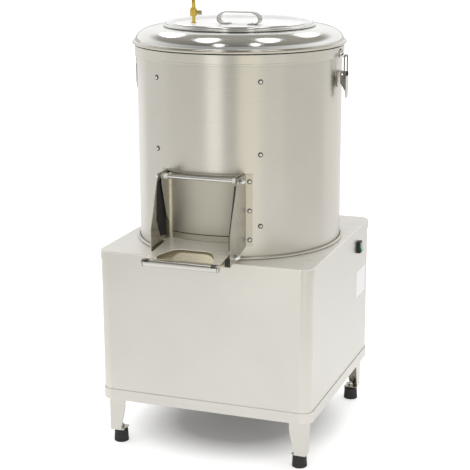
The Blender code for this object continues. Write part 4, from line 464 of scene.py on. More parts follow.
def ribbed(work, count, depth, inside, above):
    """Press grooves into what lies outside a radius and above a level."""
    for vert in work.verts:
        if math.hypot(vert.co.x, vert.co.y) > inside and vert.co.z > above:
            groove = 1 - depth * max(0, math.cos(count * math.atan2(vert.co.y, vert.co.x))) ** 2
            vert.co.x *= groove
            vert.co.y *= groove
    return work


def block(place, size):
    work = bmesh.new()
    bmesh.ops.create_cube(work, size=1, matrix=at(*place) @ Matrix.Diagonal((*size, 1)))
    return work


def hexagon(across_flats, height, chamfer):
    """A hexagon nut with rounded edges, standing on the level of its seat."""
    work = bmesh.new()
    radius = across_flats / math.sqrt(3)
    bmesh.ops.create_cone(work, cap_ends=True, segments=6, radius1=radius, radius2=radius, depth=height,
                          matrix=at(0, 0, height / 2))
    return soften(work, chamfer)


# %% [markdown]
# The drum is a rolled sheet with a square discharge opening cut low in its front.
# A Boolean could cut that opening, but it leaves long thin triangles that shade badly on a curve.
# Spinning an upright edge in two runs avoids it: the whole height goes round the back, and only the
# strips above and below the opening cross the front. Solidify then gives the sheet its thickness.

# %% The drum
opening_half = 19.4
opening_sill = 0.0455
opening_head = 0.190
drum_top = 0.4685
wall_steps = 128


def verts_in(items):
    return [item for item in items if isinstance(item, bmesh.types.BMVert)]


def beside_opening(edge):
    """Whether an upright edge runs along the opening, and so must not be spun across it."""
    return all(opening_sill - seat < vert.co.z < opening_head + seat for vert in edge.verts)


def drum_wall(radius, low, high, thickness):
    work = bmesh.new()
    line = [work.verts.new((radius, 0, height)) for height in (low, opening_sill, opening_head, high)]
    edges = [work.edges.new(pair) for pair in zip(line, line[1:])]
    moved(work, about_z(opening_half - 90))
    spun = bmesh.ops.spin(work, geom=line + edges, cent=(0, 0, 0), axis=(0, 0, 1),
                          angle=math.radians(360 - 2 * opening_half), steps=wall_steps)
    last = verts_in(spun["geom_last"])
    strips = [edge for edge in work.edges if edge.verts[0] in last and edge.verts[1] in last
              and not beside_opening(edge)]
    bmesh.ops.spin(work, geom=last + strips, cent=(0, 0, 0), axis=(0, 0, 1),
                   angle=math.radians(2 * opening_half), steps=wall_steps // 8)
    bmesh.ops.remove_doubles(work, verts=work.verts, dist=0.00002)
    loose = [vert for vert in work.verts if not vert.link_faces]
    bmesh.ops.delete(work, geom=loose, context="VERTS")
    bmesh.ops.recalc_face_normals(work, faces=work.faces)
    bmesh.ops.solidify(work, geom=work.faces, thickness=thickness)
    return work


piece("drum", drum_wall(drum_radius, seat, drum_top, sheet), "machine", "drum_steel", ["drum_shell"])

# %% [markdown]
# Inside the drum a coat of grit lines the wall, and the floor is a plain disc with the drain hole.
# They show when the door or the lid is open, so they get the same care: the liner is the same kind
# of wall a little further in, and the floor keeps its solid's hole.

# %% The liner, the floor and the bead at the drum's foot
liner_low, liner_high, liner_wall = 0.012, 0.452, 0.0035
liner = drum_wall(drum_radius - sheet - seat, liner_low, liner_high, liner_wall)
piece("grit-liner", liner, "machine", "abrasive_sheet", ["abrasive_liner"])
dress("drum_floor", "machine", "drum_steel", 0.0004)

bead_radius = 0.0035
bead = lathe(curve((drum_radius + seat + bead_radius, seat + bead_radius), bead_radius, 0, 345, 15))
piece("foot-bead", bead, "machine", "lid_skirt_steel", ["drum_base_bead"])

# %% [markdown]
# The cabinet is three pressings: a deck whose skirt laps over the sides, a wrapped shell, and a base
# frame with a hem. Their corners are bent round a bar of 28 mm. A rounded square is made by bevelling
# the corner vertices of one flat face, and an extrusion turns that face into a pan.

# %% The deck, the shell and the base frame
cabinet_half = 0.265
cabinet_corner = 0.028
deck_skirt = 0.022


def rounded_plate(half_x, half_y, corner, segments, level=0):
    """A flat face with rounded corners."""
    work = bmesh.new()
    bmesh.ops.create_grid(work, x_segments=1, y_segments=1, size=1,
                          matrix=at(0, 0, level) @ Matrix.Diagonal((half_x, half_y, 1, 1)))
    bmesh.ops.bevel(work, geom=work.verts[:], offset=corner, segments=segments, profile=0.5,
                    affect="VERTICES", material=-1)
    return work


def raise_faces(work, height):
    """Extrude the whole flat shape upwards."""
    grown = bmesh.ops.extrude_face_region(work, geom=work.faces[:])
    bmesh.ops.translate(work, vec=(0, 0, height), verts=verts_in(grown["geom"]))


def at_roof_edge(edge):
    """Whether an edge is the sharp outer edge of the deck's roof."""
    inner = cabinet_half - cabinet_corner
    return (all(abs(v.co.z) < 0.00002 and max(abs(v.co.x), abs(v.co.y)) > inner for v in edge.verts)
            and len(edge.link_faces) == 2 and edge.calc_face_angle(0) > 0.5)


def takes_painted_top_light(face):
    """Whether a face is the deck's roof or the part of its front edge that rolls over, the faces that take the
    pale copy of the steel as painted top light.
    """
    return face.normal.z > 0.5 or face.normal.z > 0.15 and face.normal.y < -0.2


def bent_corner(face):
    """Whether a face belongs to a bend, which the bending tool polishes a little."""
    return min(abs(face.normal.x), abs(face.normal.y)) > 0.03 and abs(face.normal.z) < 0.1


pan = rounded_plate(cabinet_half, cabinet_half, cabinet_corner, 12, -deck_skirt)
raise_faces(pan, deck_skirt)
bottom = [face for face in pan.faces
          if face.normal.z < -0.5 or face.calc_center_median().z < -deck_skirt + 0.0001]
bmesh.ops.delete(pan, geom=bottom, context="FACES_ONLY")
bevel_edges(pan, [edge for edge in pan.edges if at_roof_edge(edge)], 0.0030, 4)
bmesh.ops.recalc_face_normals(pan, faces=pan.faces)
bmesh.ops.solidify(pan, geom=pan.faces, thickness=sheet)
deck_piece = piece("deck", pan, "machine", "painted_top_light_steel", ["deck_plate"])
# The roof and the rolled front edge keep the pale copy, painted top light with a painted highlight on the
# edge; the other faces take the cabinet's steel.
paint(deck_piece, "cabinet_steel", lambda face: not takes_painted_top_light(face))
shell_piece = dress("cabinet_shell", "machine", "cabinet_steel", 0.0003)
base_piece = dress("base_frame", "machine", "cabinet_steel", 0.0006)
# The base frame's upward faces, the top of its hem, take the same pale copy: a painted highlight that lightens
# the dark line along the hem.
paint(base_piece, "painted_top_light_steel", lambda face: face.normal.z > 0.3)
for made in (deck_piece, shell_piece, base_piece):
    paint(made, "bend_steel", bent_corner)

# %% [markdown]
# Four folded legs stand under the corners, and their inward sides are painted dark: painted shade under the
# cabinet.
# Each leg stands on a moulded rubber foot. The foot is a short cone with rounded edges and two
# shallow rings, and a plated nut and stud hold it to the plate at the leg's lower end.

# %% The legs
corners = ("front_left", "front_right", "rear_left", "rear_right")


def turned_inwards(face):
    return face.normal.x * (axis_x - face.center.x) + face.normal.y * (axis_y - face.center.y) > 0.12


for corner in corners:
    # The inward faces take the dark copy of the steel, painted shade.
    paint(dress("leg_" + corner, "machine", "cabinet_steel", 0.0007), "painted_shade_steel", turned_inwards)

# %% The feet and their nuts
nut_level = 0.0330 + seat + 0.0026
foot_profile = [(core, 0.0327), (0.0085, 0.0327), (0.0085, 0.0300)]
foot_profile += curve((0.0147, 0.0282), 0.0018, 90, 5, 4)
foot_profile += [(0.01675, 0.0215), (0.01635, 0.0210), (0.01640, 0.0200), (0.01690, 0.0195)]
foot_profile += [(0.01735, 0.0105), (0.01695, 0.0100), (0.01700, 0.0090), (0.01755, 0.0085)]
foot_profile += curve((0.0160, 0.0020), 0.0020, 0, -90, 4) + [(core, 0)]
for corner in corners:
    middle = box_place("foot_" + corner)[0].translation
    foot = moved(lathe(foot_profile, 48), at(middle.x, middle.y, 0))
    dashed = corner.replace("_", "-")
    piece("foot-" + dashed, foot, "machine", "black_rubber", ["foot_" + corner], local=False)
    stud = add(hexagon(0.013, 0.0065, 0.0004), lathe(pin(0.0040, 0.0060, 0.0100, 0.0006), 24))
    moved(stud, at(middle.x, middle.y, nut_level))
    piece("foot-nut-" + dashed, stud, "machine", "polished_steel", local=False)

# %% [markdown]
# The lid is spun from one polished sheet: a flat crown, a shoulder that falls in a quarter of an
# ellipse, a rolled rim, and a skirt that slips over the drum. Its outline is drawn once, outside and
# inside, and spun. The rim takes a darker, warmer copy of the polished steel, a painted reflection of
# the floor and deck. The skirt is ground like the drum; a thin black line at the joint is painted shade.

# %% The lid
crown_radius = 0.190
crown_inner = 0.150
dome_outer = 0.2487
dome_base = 0.4790
dome_rise = 0.0320
crown_level = dome_base + dome_rise
skirt_outer = 0.250
skirt_inner = skirt_outer - sheet
skirt_low = 0.4438
rim_low = 0.4705
rim_high = 0.4782
rim_outer = 0.2551
rim_half = (rim_high - rim_low) / 2


def dome(offset, steps=20):
    turns = [math.pi / 2 * step / steps for step in range(steps + 1)]
    return [(crown_radius + (dome_outer - offset - crown_radius) * math.sin(turn),
             dome_base + (dome_rise - offset) * math.cos(turn)) for turn in turns]


lid_profile = [(crown_inner, crown_level)] + dome(0)
lid_profile += curve((rim_outer - rim_half, rim_low + rim_half), rim_half, 90, -90, 10)
lid_profile += [(skirt_inner, rim_low), (skirt_inner, rim_high)] + dome(sheet)[-2::-1]
lid_profile.append((crown_inner, crown_level - sheet))
dome_piece = piece("lid-dome", lathe(lid_profile), "lid", "polished_steel", ["lid_dome"])
# The rim's faces take the darker, warmer copy of the polished steel: a painted reflection.
paint(dome_piece, "painted_reflection_rim_steel", lambda face: face.center.z < deck + dome_base + 0.0006)

skirt_profile = [(skirt_outer, rim_low), (skirt_outer, skirt_low + 0.0052)]
skirt_profile += curve((skirt_outer + 0.0001, skirt_low + 0.0045), 0.0005, 120, 240, 4)
skirt_profile += [(skirt_outer, skirt_low + 0.0038), (skirt_outer, skirt_low + 0.0004)]
skirt_profile += [(skirt_outer - 0.0004, skirt_low), (skirt_inner, skirt_low), (skirt_inner, rim_low)]
piece("lid-skirt", lathe(skirt_profile), "lid", "lid_skirt_steel")

# A thin black ring in the crease under the rim: painted shade where the rim overhangs the skirt.
shade_line_in, shade_line_out = skirt_outer - 0.0001, skirt_outer + 0.0006
shade_line_top, shade_line_low = rim_low + 0.0001, rim_low - 0.0026
rim_shade_line = [(shade_line_in, shade_line_top), (shade_line_out, shade_line_top), (shade_line_out, shade_line_low + 0.0004),
        (shade_line_out - 0.0004, shade_line_low), (shade_line_in, shade_line_low)]
piece("rim-shade-line", lathe(rim_shade_line), "lid", "black_rubber")

# %% [markdown]
# A dished cover sits on the crown inside its own raised bead. Only the outer side of the bead is
# polished like the dome, so the faces outside a radius take the other finish.

# %% The cover plate and the seal
cover_seat = crown_level + seat
cover_floor = cover_seat + sheet
cover_bead = 0.0055
bead_level = cover_seat + 0.0112 - cover_bead
foot_half = 0.0055 / 2
cover_profile = [(core, cover_floor), (0.1585, cover_floor)]
cover_profile += curve((0.1640, cover_floor + 0.0040), 0.0040, -90, -20, 4)[1:]
cover_profile += curve((0.1720, bead_level), cover_bead, 165, 0, 14)
cover_profile += [(0.1775, cover_seat + 2 * foot_half + 0.0002)]
cover_profile += curve((0.1820 - foot_half, cover_seat + foot_half), foot_half, 90, -90, 8)
cover_profile += [(core, cover_seat)]
cover = lathe(cover_profile, closed=False)
# The cover's flat and inner bead take the near-white sheet, a painted sheen; the bead's outer side is
# polished.
cover_piece = piece("lid-cover", cover, "lid", "painted_sheen_cover", ["lid_cover"])
paint(cover_piece, "polished_steel",
      lambda face: math.hypot(face.center.x - axis_x, face.center.y - axis_y) > 0.1722)

seal_outer = skirt_inner - seat
seal = lathe(band(seal_outer - 0.0042, seal_outer, drum_top + seat, rim_high - seat))
piece("lid-seal", soften(seal, 0.0008), "lid", "black_rubber", ["lid_seal"])

# %% [markdown]
# The lid's handle is a flat strap bent into a loop, with its two feet tucked inwards.
# Its path is two quarter ellipses at each end. The line is swept sideways with one extrusion,
# Solidify gives the strap its thickness, and a bevel takes the edges off.

# %% The handle and its rivets
handle_base = cover_floor + seat
handle_half = 0.0545
handle_height = 0.0320
handle_bulge = 0.0122
handle_width = 0.026
strap = 0.0022


def swept_line(profile, half_width):
    """Sweep an open line of (y, z) points sideways."""
    work = bmesh.new()
    line = [work.verts.new((-half_width, y, z)) for y, z in profile]
    edges = [work.edges.new(pair) for pair in zip(line, line[1:])]
    grown = bmesh.ops.extrude_edge_only(work, edges=edges)
    bmesh.ops.translate(work, vec=(2 * half_width, 0, 0), verts=verts_in(grown["geom"]))
    bmesh.ops.remove_doubles(work, verts=work.verts, dist=0.00001)
    bmesh.ops.recalc_face_normals(work, faces=work.faces)
    return work


def strap_path(steps=12):
    """The middle line of the strap's right half, from its foot to the middle of its top."""
    inset = strap / 2
    points = [(0.024, inset)]
    for centre, rise, start in ((0.036, handle_bulge - inset, -90),
                                (0.030, handle_height - handle_bulge - inset, 0)):
        reach = handle_half - inset - centre
        points += [(centre + reach * x, handle_bulge + rise * z)
                   for x, z in curve((0, 0), 1, start, start + 90, steps)]
    return points + [(0, handle_height - inset)]


half_path = strap_path()
full_path = half_path + [(-x, z) for x, z in reversed(half_path[:-1])]
loop = moved(swept_line(full_path, handle_width / 2), about_z(-90))
bmesh.ops.solidify(loop, geom=loop.faces, thickness=strap)
moved(loop, at(0, 0, handle_base - min(v.co.z for v in loop.verts)))
piece("lid-handle", soften(loop, 0.0006, 3, 50), "lid", "handle_steel", ["lid_handle"])

rivet_radius, rivet_height = 0.0032, 0.0014
rivet = [(core, rivet_height)] + dome_head(rivet_radius, rivet_height, range(12, 85, 12))
rivets = bmesh.new()
for side in (-1, 1):
    for across in (-0.0075, 0.0075):
        add(rivets, lathe(rivet + [(rivet_radius, 0), (core, 0)], 20, closed=False),
            at(side * 0.0300, across, handle_base + strap - 0.0001))
piece("handle-rivets", rivets, "lid", "polished_steel")

# %% [markdown]
# Water comes in through a small brass valve on the lid: a lock nut, a square body, a hose barb on
# top, and a knurled tap at its side. The stem is turned, and the nuts, the body and the boss of the
# tap are joined to it as parts of the same casting.

# %% The water valve and its tap
valve_x = -0.117
valve_top = 0.0660
valve_profile = [(core, valve_top)]
for index in range(3):
    top = valve_top - index * 0.0056
    valve_profile += [(0.0036, top), (0.0054, top - 0.0034), (0.0054, top - 0.0038), (0.0040, top - 0.0044)]
valve_profile += [(0.0046, 0.0472), (0.0046, 0.0250), (0.0042, 0.0240), (0.0042, -0.0080), (core, -0.0080)]
valve = lathe(valve_profile, 40, closed=False)
add(valve, hexagon(0.0120, 0.0024, 0.0004))
add(valve, soften(block((0, 0, 0.0248), (0.0148, 0.0130, 0.0180)), 0.0016, 3))
add(valve, hexagon(0.0112, 0.0026, 0.0004), at(0, 0, 0.0338))
add(valve, lathe(pin(0.0048, 0.0060, 0.0115, 0.0004), 32), at(0, 0, 0.0245, along_x))
piece("water-valve", moved(valve, at(valve_x, 0, handle_base)), "lid", "brass", ["water_valve"])

tap_place, tap_size = box_place("valve_tap", along_x)
tap_length = tap_size.x + 0.0030
knob = lathe([(core, tap_length), (0.0044, tap_length), (0.0054, tap_length - 0.0008), (0.0054, 0.0008),
              (0.0046, 0), (core, 0)], 40)
moved(ribbed(knob, 10, 0.11, 0.005, -1), tap_place @ at(0, 0, -tap_size.x / 2))
piece("valve-tap", knob, "tap", "tap_metal", ["valve_tap"], local=False)

# %% [markdown]
# The discharge chute is two side plates with a lip above the opening, which are dressed copies of
# their solids. Only the front returns of the side plates end lower, below the door's tongue.
# The door is a leaf curved to the drum, and it hangs between the plates on a polished rod.

# %% The chute and the door's leaf
return_front, return_solid, return_top = -0.32, 0.040, 0.0300
for hand in ("left", "right"):
    side_plate = copy_of("chute_side_" + hand)
    for vert in side_plate.verts:
        if vert.co.y - axis_y < return_front and abs(vert.co.z - deck - return_solid) < 0.0005:
            vert.co.z = deck + return_top
    piece("chute-side-" + hand, soften(side_plate, 0.0004), "machine", "chute_steel",
          ["chute_side_" + hand], local=False)
dress("chute_lip", "machine", "chute_steel", 0.0005)
# The leaf takes the darker copy of the steel: painted shade for the recess.
dress("door_panel", "door", "painted_shade_door_steel", 0.0004)

# %% [markdown]
# The tongue slopes down from the leaf to the grip. It is drawn flat, with its hand hole, and a shear
# matrix then tilts it: that keeps its outline as seen from above, which a turn would shorten.

# %% The tongue
tongue_half = 0.0883
tongue_front, tongue_rear = -0.3812, -(drum_radius + 0.0026)
front_level, rear_level = 0.0278, 0.0405


def flat_plate(outline, thickness):
    """A plate from an outline of (x, y) points, with its top at nought."""
    work = bmesh.new()
    work.faces.new([work.verts.new((x, y, -thickness)) for x, y in outline])
    raise_faces(work, thickness)
    bmesh.ops.recalc_face_normals(work, faces=work.faces)
    return work


def bent_line(corner_points, radius, steps):
    """Round the inner corners of an open line of points with short curves."""
    points = [Vector(corner_points[0])]
    for before, here, after in zip(corner_points, corner_points[1:], corner_points[2:]):
        here = Vector(here)
        start = here + (Vector(before) - here).normalized() * radius
        end = here + (Vector(after) - here).normalized() * radius
        for share in [step / steps for step in range(steps + 1)]:
            points.append(start.lerp(here, share).lerp(here.lerp(end, share), share))
    return points + [Vector(corner_points[-1])]


rear_angle = math.degrees(math.asin(tongue_half / -tongue_rear))
hole_side = [(0.0430, -0.3080), (0.0690, -0.3560), (0.0710, tongue_front)]
hand_hole = bent_line([(-x, y) for x, y in reversed(hole_side)] + hole_side, 0.017, 5)
outline = curve((0, 0), -tongue_rear, rear_angle - 90, -rear_angle - 90, 16)
outline += [(-tongue_half, tongue_front)] + hand_hole + [(tongue_half, tongue_front)]
slope = (rear_level - front_level) / (tongue_rear - tongue_front)
shear = Matrix(((1, 0, 0, 0), (0, 1, 0, 0), (0, slope, 1, rear_level - slope * tongue_rear), (0, 0, 0, 1)))
tongue = soften(moved(flat_plate(outline, 0.0018), shear), 0.0005)
# The tongue takes the pale copy of the steel, painted light on its upward face.
piece("door-tongue", tongue, "door", "painted_light_tongue_steel", ["door_tongue"])

# %% [markdown]
# Two polished rods cross the chute, and a domed nut closes each end of them. The door hangs on the
# upper one. A domed nut is a hexagon with a short spun cap on it.

# %% The rods and their domed nuts
rod_radius = 0.0045
nut_seat = 0.0945 + sheet + seat
for name in ("upper_rod", "lower_rod"):
    rod_place, rod_size = box_place(name, along_x)
    half = rod_size.x / 2
    bar = lathe(both_ends([(core, half), (rod_radius - 0.0005, half), (rod_radius, half - 0.0005)]), 40)
    dashed = name.replace("_", "-")
    piece(dashed, moved(bar, rod_place), "machine", "polished_steel", [name], local=False)
    for side, hand in ((-1, "left"), (1, "right")):
        cap = [(core, 0.01225)] + curve((0, 0.0060), 0.0062, 80, 0, 8) + [(core, 0.0060)]
        nut = add(hexagon(0.01264, 0.0065, 0.0006), lathe(cap, 32, closed=False))
        moved(nut, at(axis_x + side * nut_seat, rod_place.translation.y, rod_place.translation.z,
                      Matrix.Rotation(side * math.pi / 2, 4, "Y")))
        piece(dashed + "-nut-" + hand, nut, "machine", "polished_steel", [name + "_nut_" + hand],
              local=False)

# %% [markdown]
# Under the tongue a folded tray leads from the opening over the lower rod, and its lip turns down in
# front. It shows through the hand hole. Like the handle, it is one line swept sideways.

# %% The tray under the tongue
lower_rod = box_place("lower_rod")[0].translation
stud_y, stud_z = lower_rod.y - axis_y, lower_rod.z - deck
tray_half = 0.0938
tray_sheet = 0.0012
rod_top = stud_z + rod_radius + seat / 3 + tray_sheet
tray_line = [(-0.2478, 0.0345), (stud_y + 0.0060, rod_top + 0.0006), (stud_y + 0.0020, rod_top + 0.0001),
             (stud_y, rod_top), (stud_y - 0.0025, rod_top - 0.0004), (stud_y - 0.0050, rod_top - 0.0018),
             (-0.3278, 0.0134), (-0.3292, 0.0122), (-0.3299, 0.0104), (-0.3300, 0.0070)]
tray = swept_line(tray_line, tray_half)
if tray.faces[:][0].normal.z < 0:
    bmesh.ops.reverse_faces(tray, faces=tray.faces)
bmesh.ops.solidify(tray, geom=tray.faces, thickness=tray_sheet)
piece("chute-tray", tray, "machine", "tray_steel")

# %% [markdown]
# Black strips on the inner faces of the side plates are painted shade for the dark inside the chute,
# and the right strip reaches further forward. A small black pad beside the tongue's right edge is
# painted shade for the dark gap there.

# %% The painted shade inside the chute
# A black pad in the gap beside the tongue: painted shade.
pad = soften(block((0.0889, -0.3311, 0.0194), (0.0128, 0.0014, 0.0202)), 0.0005)
piece("tongue-shade-pad", pad, "machine", "black_rubber")

# Black strips on the side plates' inner faces: painted shade.
strip_rear = [(-0.2764, 0.0529), (-0.2440, 0.0480), (-0.2460, 0.0742), (-0.2500, 0.1410), (-0.2560, 0.1835)]
strip_fronts = ((-1, [(-0.2890, 0.1835), (-0.2945, 0.1500), (-0.2968, 0.0940)]),
                (1, [(-0.2955, 0.1860), (-0.3090, 0.1450), (-0.3328, 0.0800), (-0.3328, 0.0460)]))
strips = bmesh.new()
for side, strip_front in strip_fronts:
    add(strips, flat_plate(strip_front + strip_rear, 0.0010),
        at(side * tray_half + 0.0005, 0, 0, facing_right))
piece("chute-side-shade-strips", strips, "machine", "black_rubber")

# %% [markdown]
# The leaf of the door is stiffened by a bend at each side, whose brightness is a painted highlight,
# and by a doubled foot, with a thin black line above the foot that is painted shade.

# %% The bends at the door's two sides, its foot and the dark line above it
bend = [(-0.0884, -0.2375), (-0.0883, -0.2353), (-0.0879, -0.2338), (-0.0868, -0.2328), (-0.0850, -0.2326),
        (-0.0822, -0.2334), (-0.0822, -0.2326), (-0.0886, -0.2305)]
bends = bmesh.new()
for side in (-1, 1):
    add(bends, flat_plate([(-side * x, y) for x, y in bend], 0.1530), at(0, 0, 0.1938))
# The bends take the pale copy of the steel: a painted highlight.
piece("door-bends", bends, "door", "painted_highlight_fold_steel")

leaf_front, foot_low, foot_top = 0.2474, 0.0428, 0.0545
# The thin black line above the foot is painted shade along the foot's top edge.
for name, low, high, proud, finish, slot in (
        ("door-foot", foot_low, foot_top, 0.0010, "painted_shade_door_steel", "chute_steel"),
        ("door-wiper", foot_top + 0.0001, foot_top + 0.0017, 0.0008, "black_rubber", None)):
    across_leaf = arc_band(band(leaf_front, leaf_front + proud, low, high), 16, 38.6, -109.3)
    piece(name, across_leaf, "door", finish)

# %% [markdown]
# The door turns on two nylon bushes. Its grip is a tube with a closed end at each side, held by two
# dark straps, and a black ring marks where each end cap begins.

# %% The bushes of the door and the grip
for hand in ("left", "right"):
    bush_place, bush_size = box_place("door_bush_" + hand, along_x)
    half = bush_size.x / 2
    bush = lathe(both_ends([(0.0049, half), (0.0060, half), (0.0063, half - 0.0003)]), 40)
    piece("door-bush-" + hand, moved(bush, bush_place), "door", "nylon", ["door_bush_" + hand], local=False)

grip_place, grip_size = box_place("door_grip", along_x)
half = grip_size.x / 2
cap_depth = 0.0025
grip_end = [(0.0065, half - cap_depth), (0.0015, half - cap_depth), (0.0015, half), (0.0076, half)]
grip_end += curve((0.0076, half - 0.0010), 0.0010, 90, 0, 3)
grip_end += [(0.0086, half - cap_depth), (0.0080, half - cap_depth - 0.0001)]
grip = moved(lathe(both_ends(grip_end), 48), grip_place)
piece("door-grip", grip, "door", "grip_steel", ["door_grip"], local=False)

rings, straps = bmesh.new(), bmesh.new()
for side in (-1, 1):
    ring = lathe(both_ends([(0.0074, 0.0007), (0.0081, 0.0007), (0.00845, 0.0004)]), 40)
    add(rings, ring, grip_place @ at(0, 0, side * (half - 0.0031)))
    grip_strap = arc_band(band(0.0082, 0.0092, -0.0055, 0.0055), 20, 150, 100)
    add(straps, grip_strap, grip_place @ at(0, 0, side * 0.0795))
piece("grip-rings", rings, "door", "black_rubber", local=False)
piece("grip-straps", straps, "door", "dark_zinc_and_painted_shade", local=False)

# %% [markdown]
# A toggle latch on each side would hold the lid down. Its base is riveted to the drum, the lever folds
# over a pin, and a wire bail reaches up to a hook on the lid's skirt. A wire is a circle carried along
# a line: each step is one extrusion, turned by the change of the line's direction.

# %% A helper that draws a wire or a pipe
def tube(points, radius, sides=14, closed_ends=True):
    """Carry a circle along a line of points, turning it with the line."""
    work = bmesh.new()
    turn = Vector((0, 0, 1)).rotation_difference(points[1] - points[0])
    first = bmesh.ops.create_circle(work, cap_ends=closed_ends, segments=sides, radius=radius,
                                    matrix=Matrix.Translation(points[0]) @ turn.to_matrix().to_4x4())
    ring = [edge for edge in work.edges if all(vert in first["verts"] for vert in edge.verts)]
    for index in range(1, len(points)):
        behind = points[index] - points[index - 1]
        ahead = points[min(index + 1, len(points) - 1)] - points[min(index, len(points) - 2)]
        heading = (behind.normalized() + ahead.normalized()).normalized()
        new_turn = (turn @ Vector((0, 0, 1))).rotation_difference(heading) @ turn
        grown = bmesh.ops.extrude_edge_only(work, edges=ring)["geom"]
        fresh = verts_in(grown)
        ring = [item for item in grown if isinstance(item, bmesh.types.BMEdge)
                and all(vert in fresh for vert in item.verts)]
        step = (Matrix.Translation(points[index]) @ new_turn.to_matrix().to_4x4()
                @ turn.to_matrix().to_4x4().inverted() @ Matrix.Translation(-points[index - 1]))
        bmesh.ops.transform(work, matrix=step, verts=fresh)
        turn = new_turn
    if closed_ends:
        bmesh.ops.holes_fill(work, edges=ring, sides=sides)
    bmesh.ops.recalc_face_normals(work, faces=work.faces)
    return work


# %% The latches
pivot_x, pivot_level = 0.258, 0.4055
bail_x, bail_foot, bail_top, bail_half = 0.263, 0.3965, 0.448, 0.0132
button_radius, button_level = 0.0078, 0.4545
for side, hand in ((-1, "left"), (1, "right")):
    dress("latch_base_" + hand, "machine", "latch_steel", 0.0003)
    lever = dress("latch_lever_" + hand, "lever_" + hand, "latch_steel", 0.0004)
    # The lever's front and back cheeks take the dark finish: painted shade on its sides.
    paint(lever, "dark_zinc_and_painted_shade", lambda face: abs(face.normal.y) > 0.6)
    wire_path = [(side * bail_x, y, z) for y, z in (
        (-0.0100, bail_foot), (-bail_half, bail_foot), (-bail_half, bail_top),
        (bail_half, bail_top), (bail_half, bail_foot), (0.0100, bail_foot))]
    piece("latch-bail-" + hand, tube(bent_line(wire_path, 0.0030, 6), 0.0015), "bail_" + hand,
          "dark_zinc_and_painted_shade", ["latch_bail_" + hand])
    heads = bmesh.new()
    for flip in (0, math.pi):
        add(heads, lathe(pin(0.0026, 0.0113, 0.0124, 0.0004), 20), Matrix.Rotation(flip, 4, "X"))
    piece("latch-pin-heads-" + hand, moved(heads, at(side * pivot_x, 0, pivot_level, along_y)),
          "lever_" + hand, "polished_steel")
    dress("latch_keeper_" + hand, "lid", "polished_steel", 0.0004)
    outward = Matrix.Rotation(side * math.pi / 2, 4, "Y")
    button = lathe([(core, button_radius)] + curve((0, 0), button_radius, 80, 0, 8)
                   + [(button_radius, -0.0010), (core, -0.0010)], 28, closed=False)
    moved(button, at(side * (skirt_outer + 0.0008), 0, button_level, outward)
          @ Matrix.Diagonal((1, 1, 0.95, 1)))
    piece("keeper-button-" + hand, button, "lid", "polished_steel")
    plate = lathe(pin(0.0096, -0.0006, 0.0010, 0.0004, 0.0060), 28)
    moved(plate, at(side * (skirt_outer + 0.0003), 0, button_level, outward))
    piece("keeper-plate-" + hand, plate, "lid", "dark_zinc_and_painted_shade")

# %% [markdown]
# The switch is a snap-in rocker: a black rimmed housing and a green rocker that shines a little.
# The rocker's two marks are the usual line and ring for on and off. They are printed a hair proud of
# the rocker's two faces, and the ring lies on the one that slopes.

# %% The switch
dress("switch_housing", "machine", "black_plastic", 0.0004)
dress("switch_rocker", "rocker", "green_plastic", 0.0005)

switch_y = 0.14955
sloping = Matrix.Rotation(math.radians(70.2), 4, "Y")
marks = block((0.27145, switch_y, -0.0440), (0.0003, 0.0006, 0.0038))
add(marks, lathe(band(0.0014, 0.0020, -0.00015, 0.00015), 28), at(0.27318, switch_y, -0.0541, sloping))
piece("rocker-marks", marks, "rocker", "white_label")

# %% [markdown]
# Behind the cabinet there are a service panel with two stacks of louvres and a gland for the cable.
# At the left the waste pipe comes out through a rubber collar, with two beads that keep a hose on.
# The pipe is a tube carried round one bend, and Solidify gives it a wall.

# %% The back and the waste pipe
dress("rear_panel", "machine", "cabinet_steel", 0.0003)
dress("drain_collar", "machine", "black_rubber", 0.0005)

drain_x, drain_y, drain_top, drain_level, drain_end = -0.190, -0.060, -0.0018, -0.116, -0.3316
drain_radius, drain_bend, drain_wall = 0.0160, 0.034, 0.0020
drain_line = bent_line([(drain_x, drain_y, drain_top), (drain_x, drain_y, drain_level),
                        (drain_end, drain_y, drain_level)], drain_bend, 14)
drain = tube(drain_line, drain_radius - drain_wall, 40, closed_ends=False)
bmesh.ops.reverse_faces(drain, faces=drain.faces)
bmesh.ops.solidify(drain, geom=drain.faces, thickness=drain_wall)
bmesh.ops.recalc_face_normals(drain, faces=drain.faces)
ridge = [(drain_radius - 0.0003, 0.0022)] + curve((drain_radius - 0.0004, 0), 0.0012, 80, -80, 6)
for x in (-0.326, -0.316):
    add(drain, lathe(ridge + [(drain_radius - 0.0003, -0.0022)], 40), at(x, drain_y, drain_level, along_x))
piece("drain-pipe", drain, "machine", "drain_steel", ["drain_pipe"])

gland_x, gland_level, gland_bore = -0.215, -0.320, 0.0045
gland_profile = [(gland_bore, 0.0200), (0.0062, 0.0200), (0.0075, 0.0190), (0.0088, 0.0110),
                 (0.0088, 0.0060), (gland_bore, 0.0060)]
gland = ribbed(lathe(gland_profile, 36), 9, 0.06, 0.0070, 0.0100)
add(gland, hexagon(0.0210, 0.0062, 0.0006))
moved(gland, at(gland_x, cabinet_half, gland_level, along_y))
piece("cable-gland", gland, "machine", "black_plastic", ["cable_gland"])

# %% [markdown]
# The drive sits inside: disc, spindle, bearings, pulleys, belt and motor. Only the disc is ever seen,
# under the lifted lid, so all of them are dressed copies of their solids.

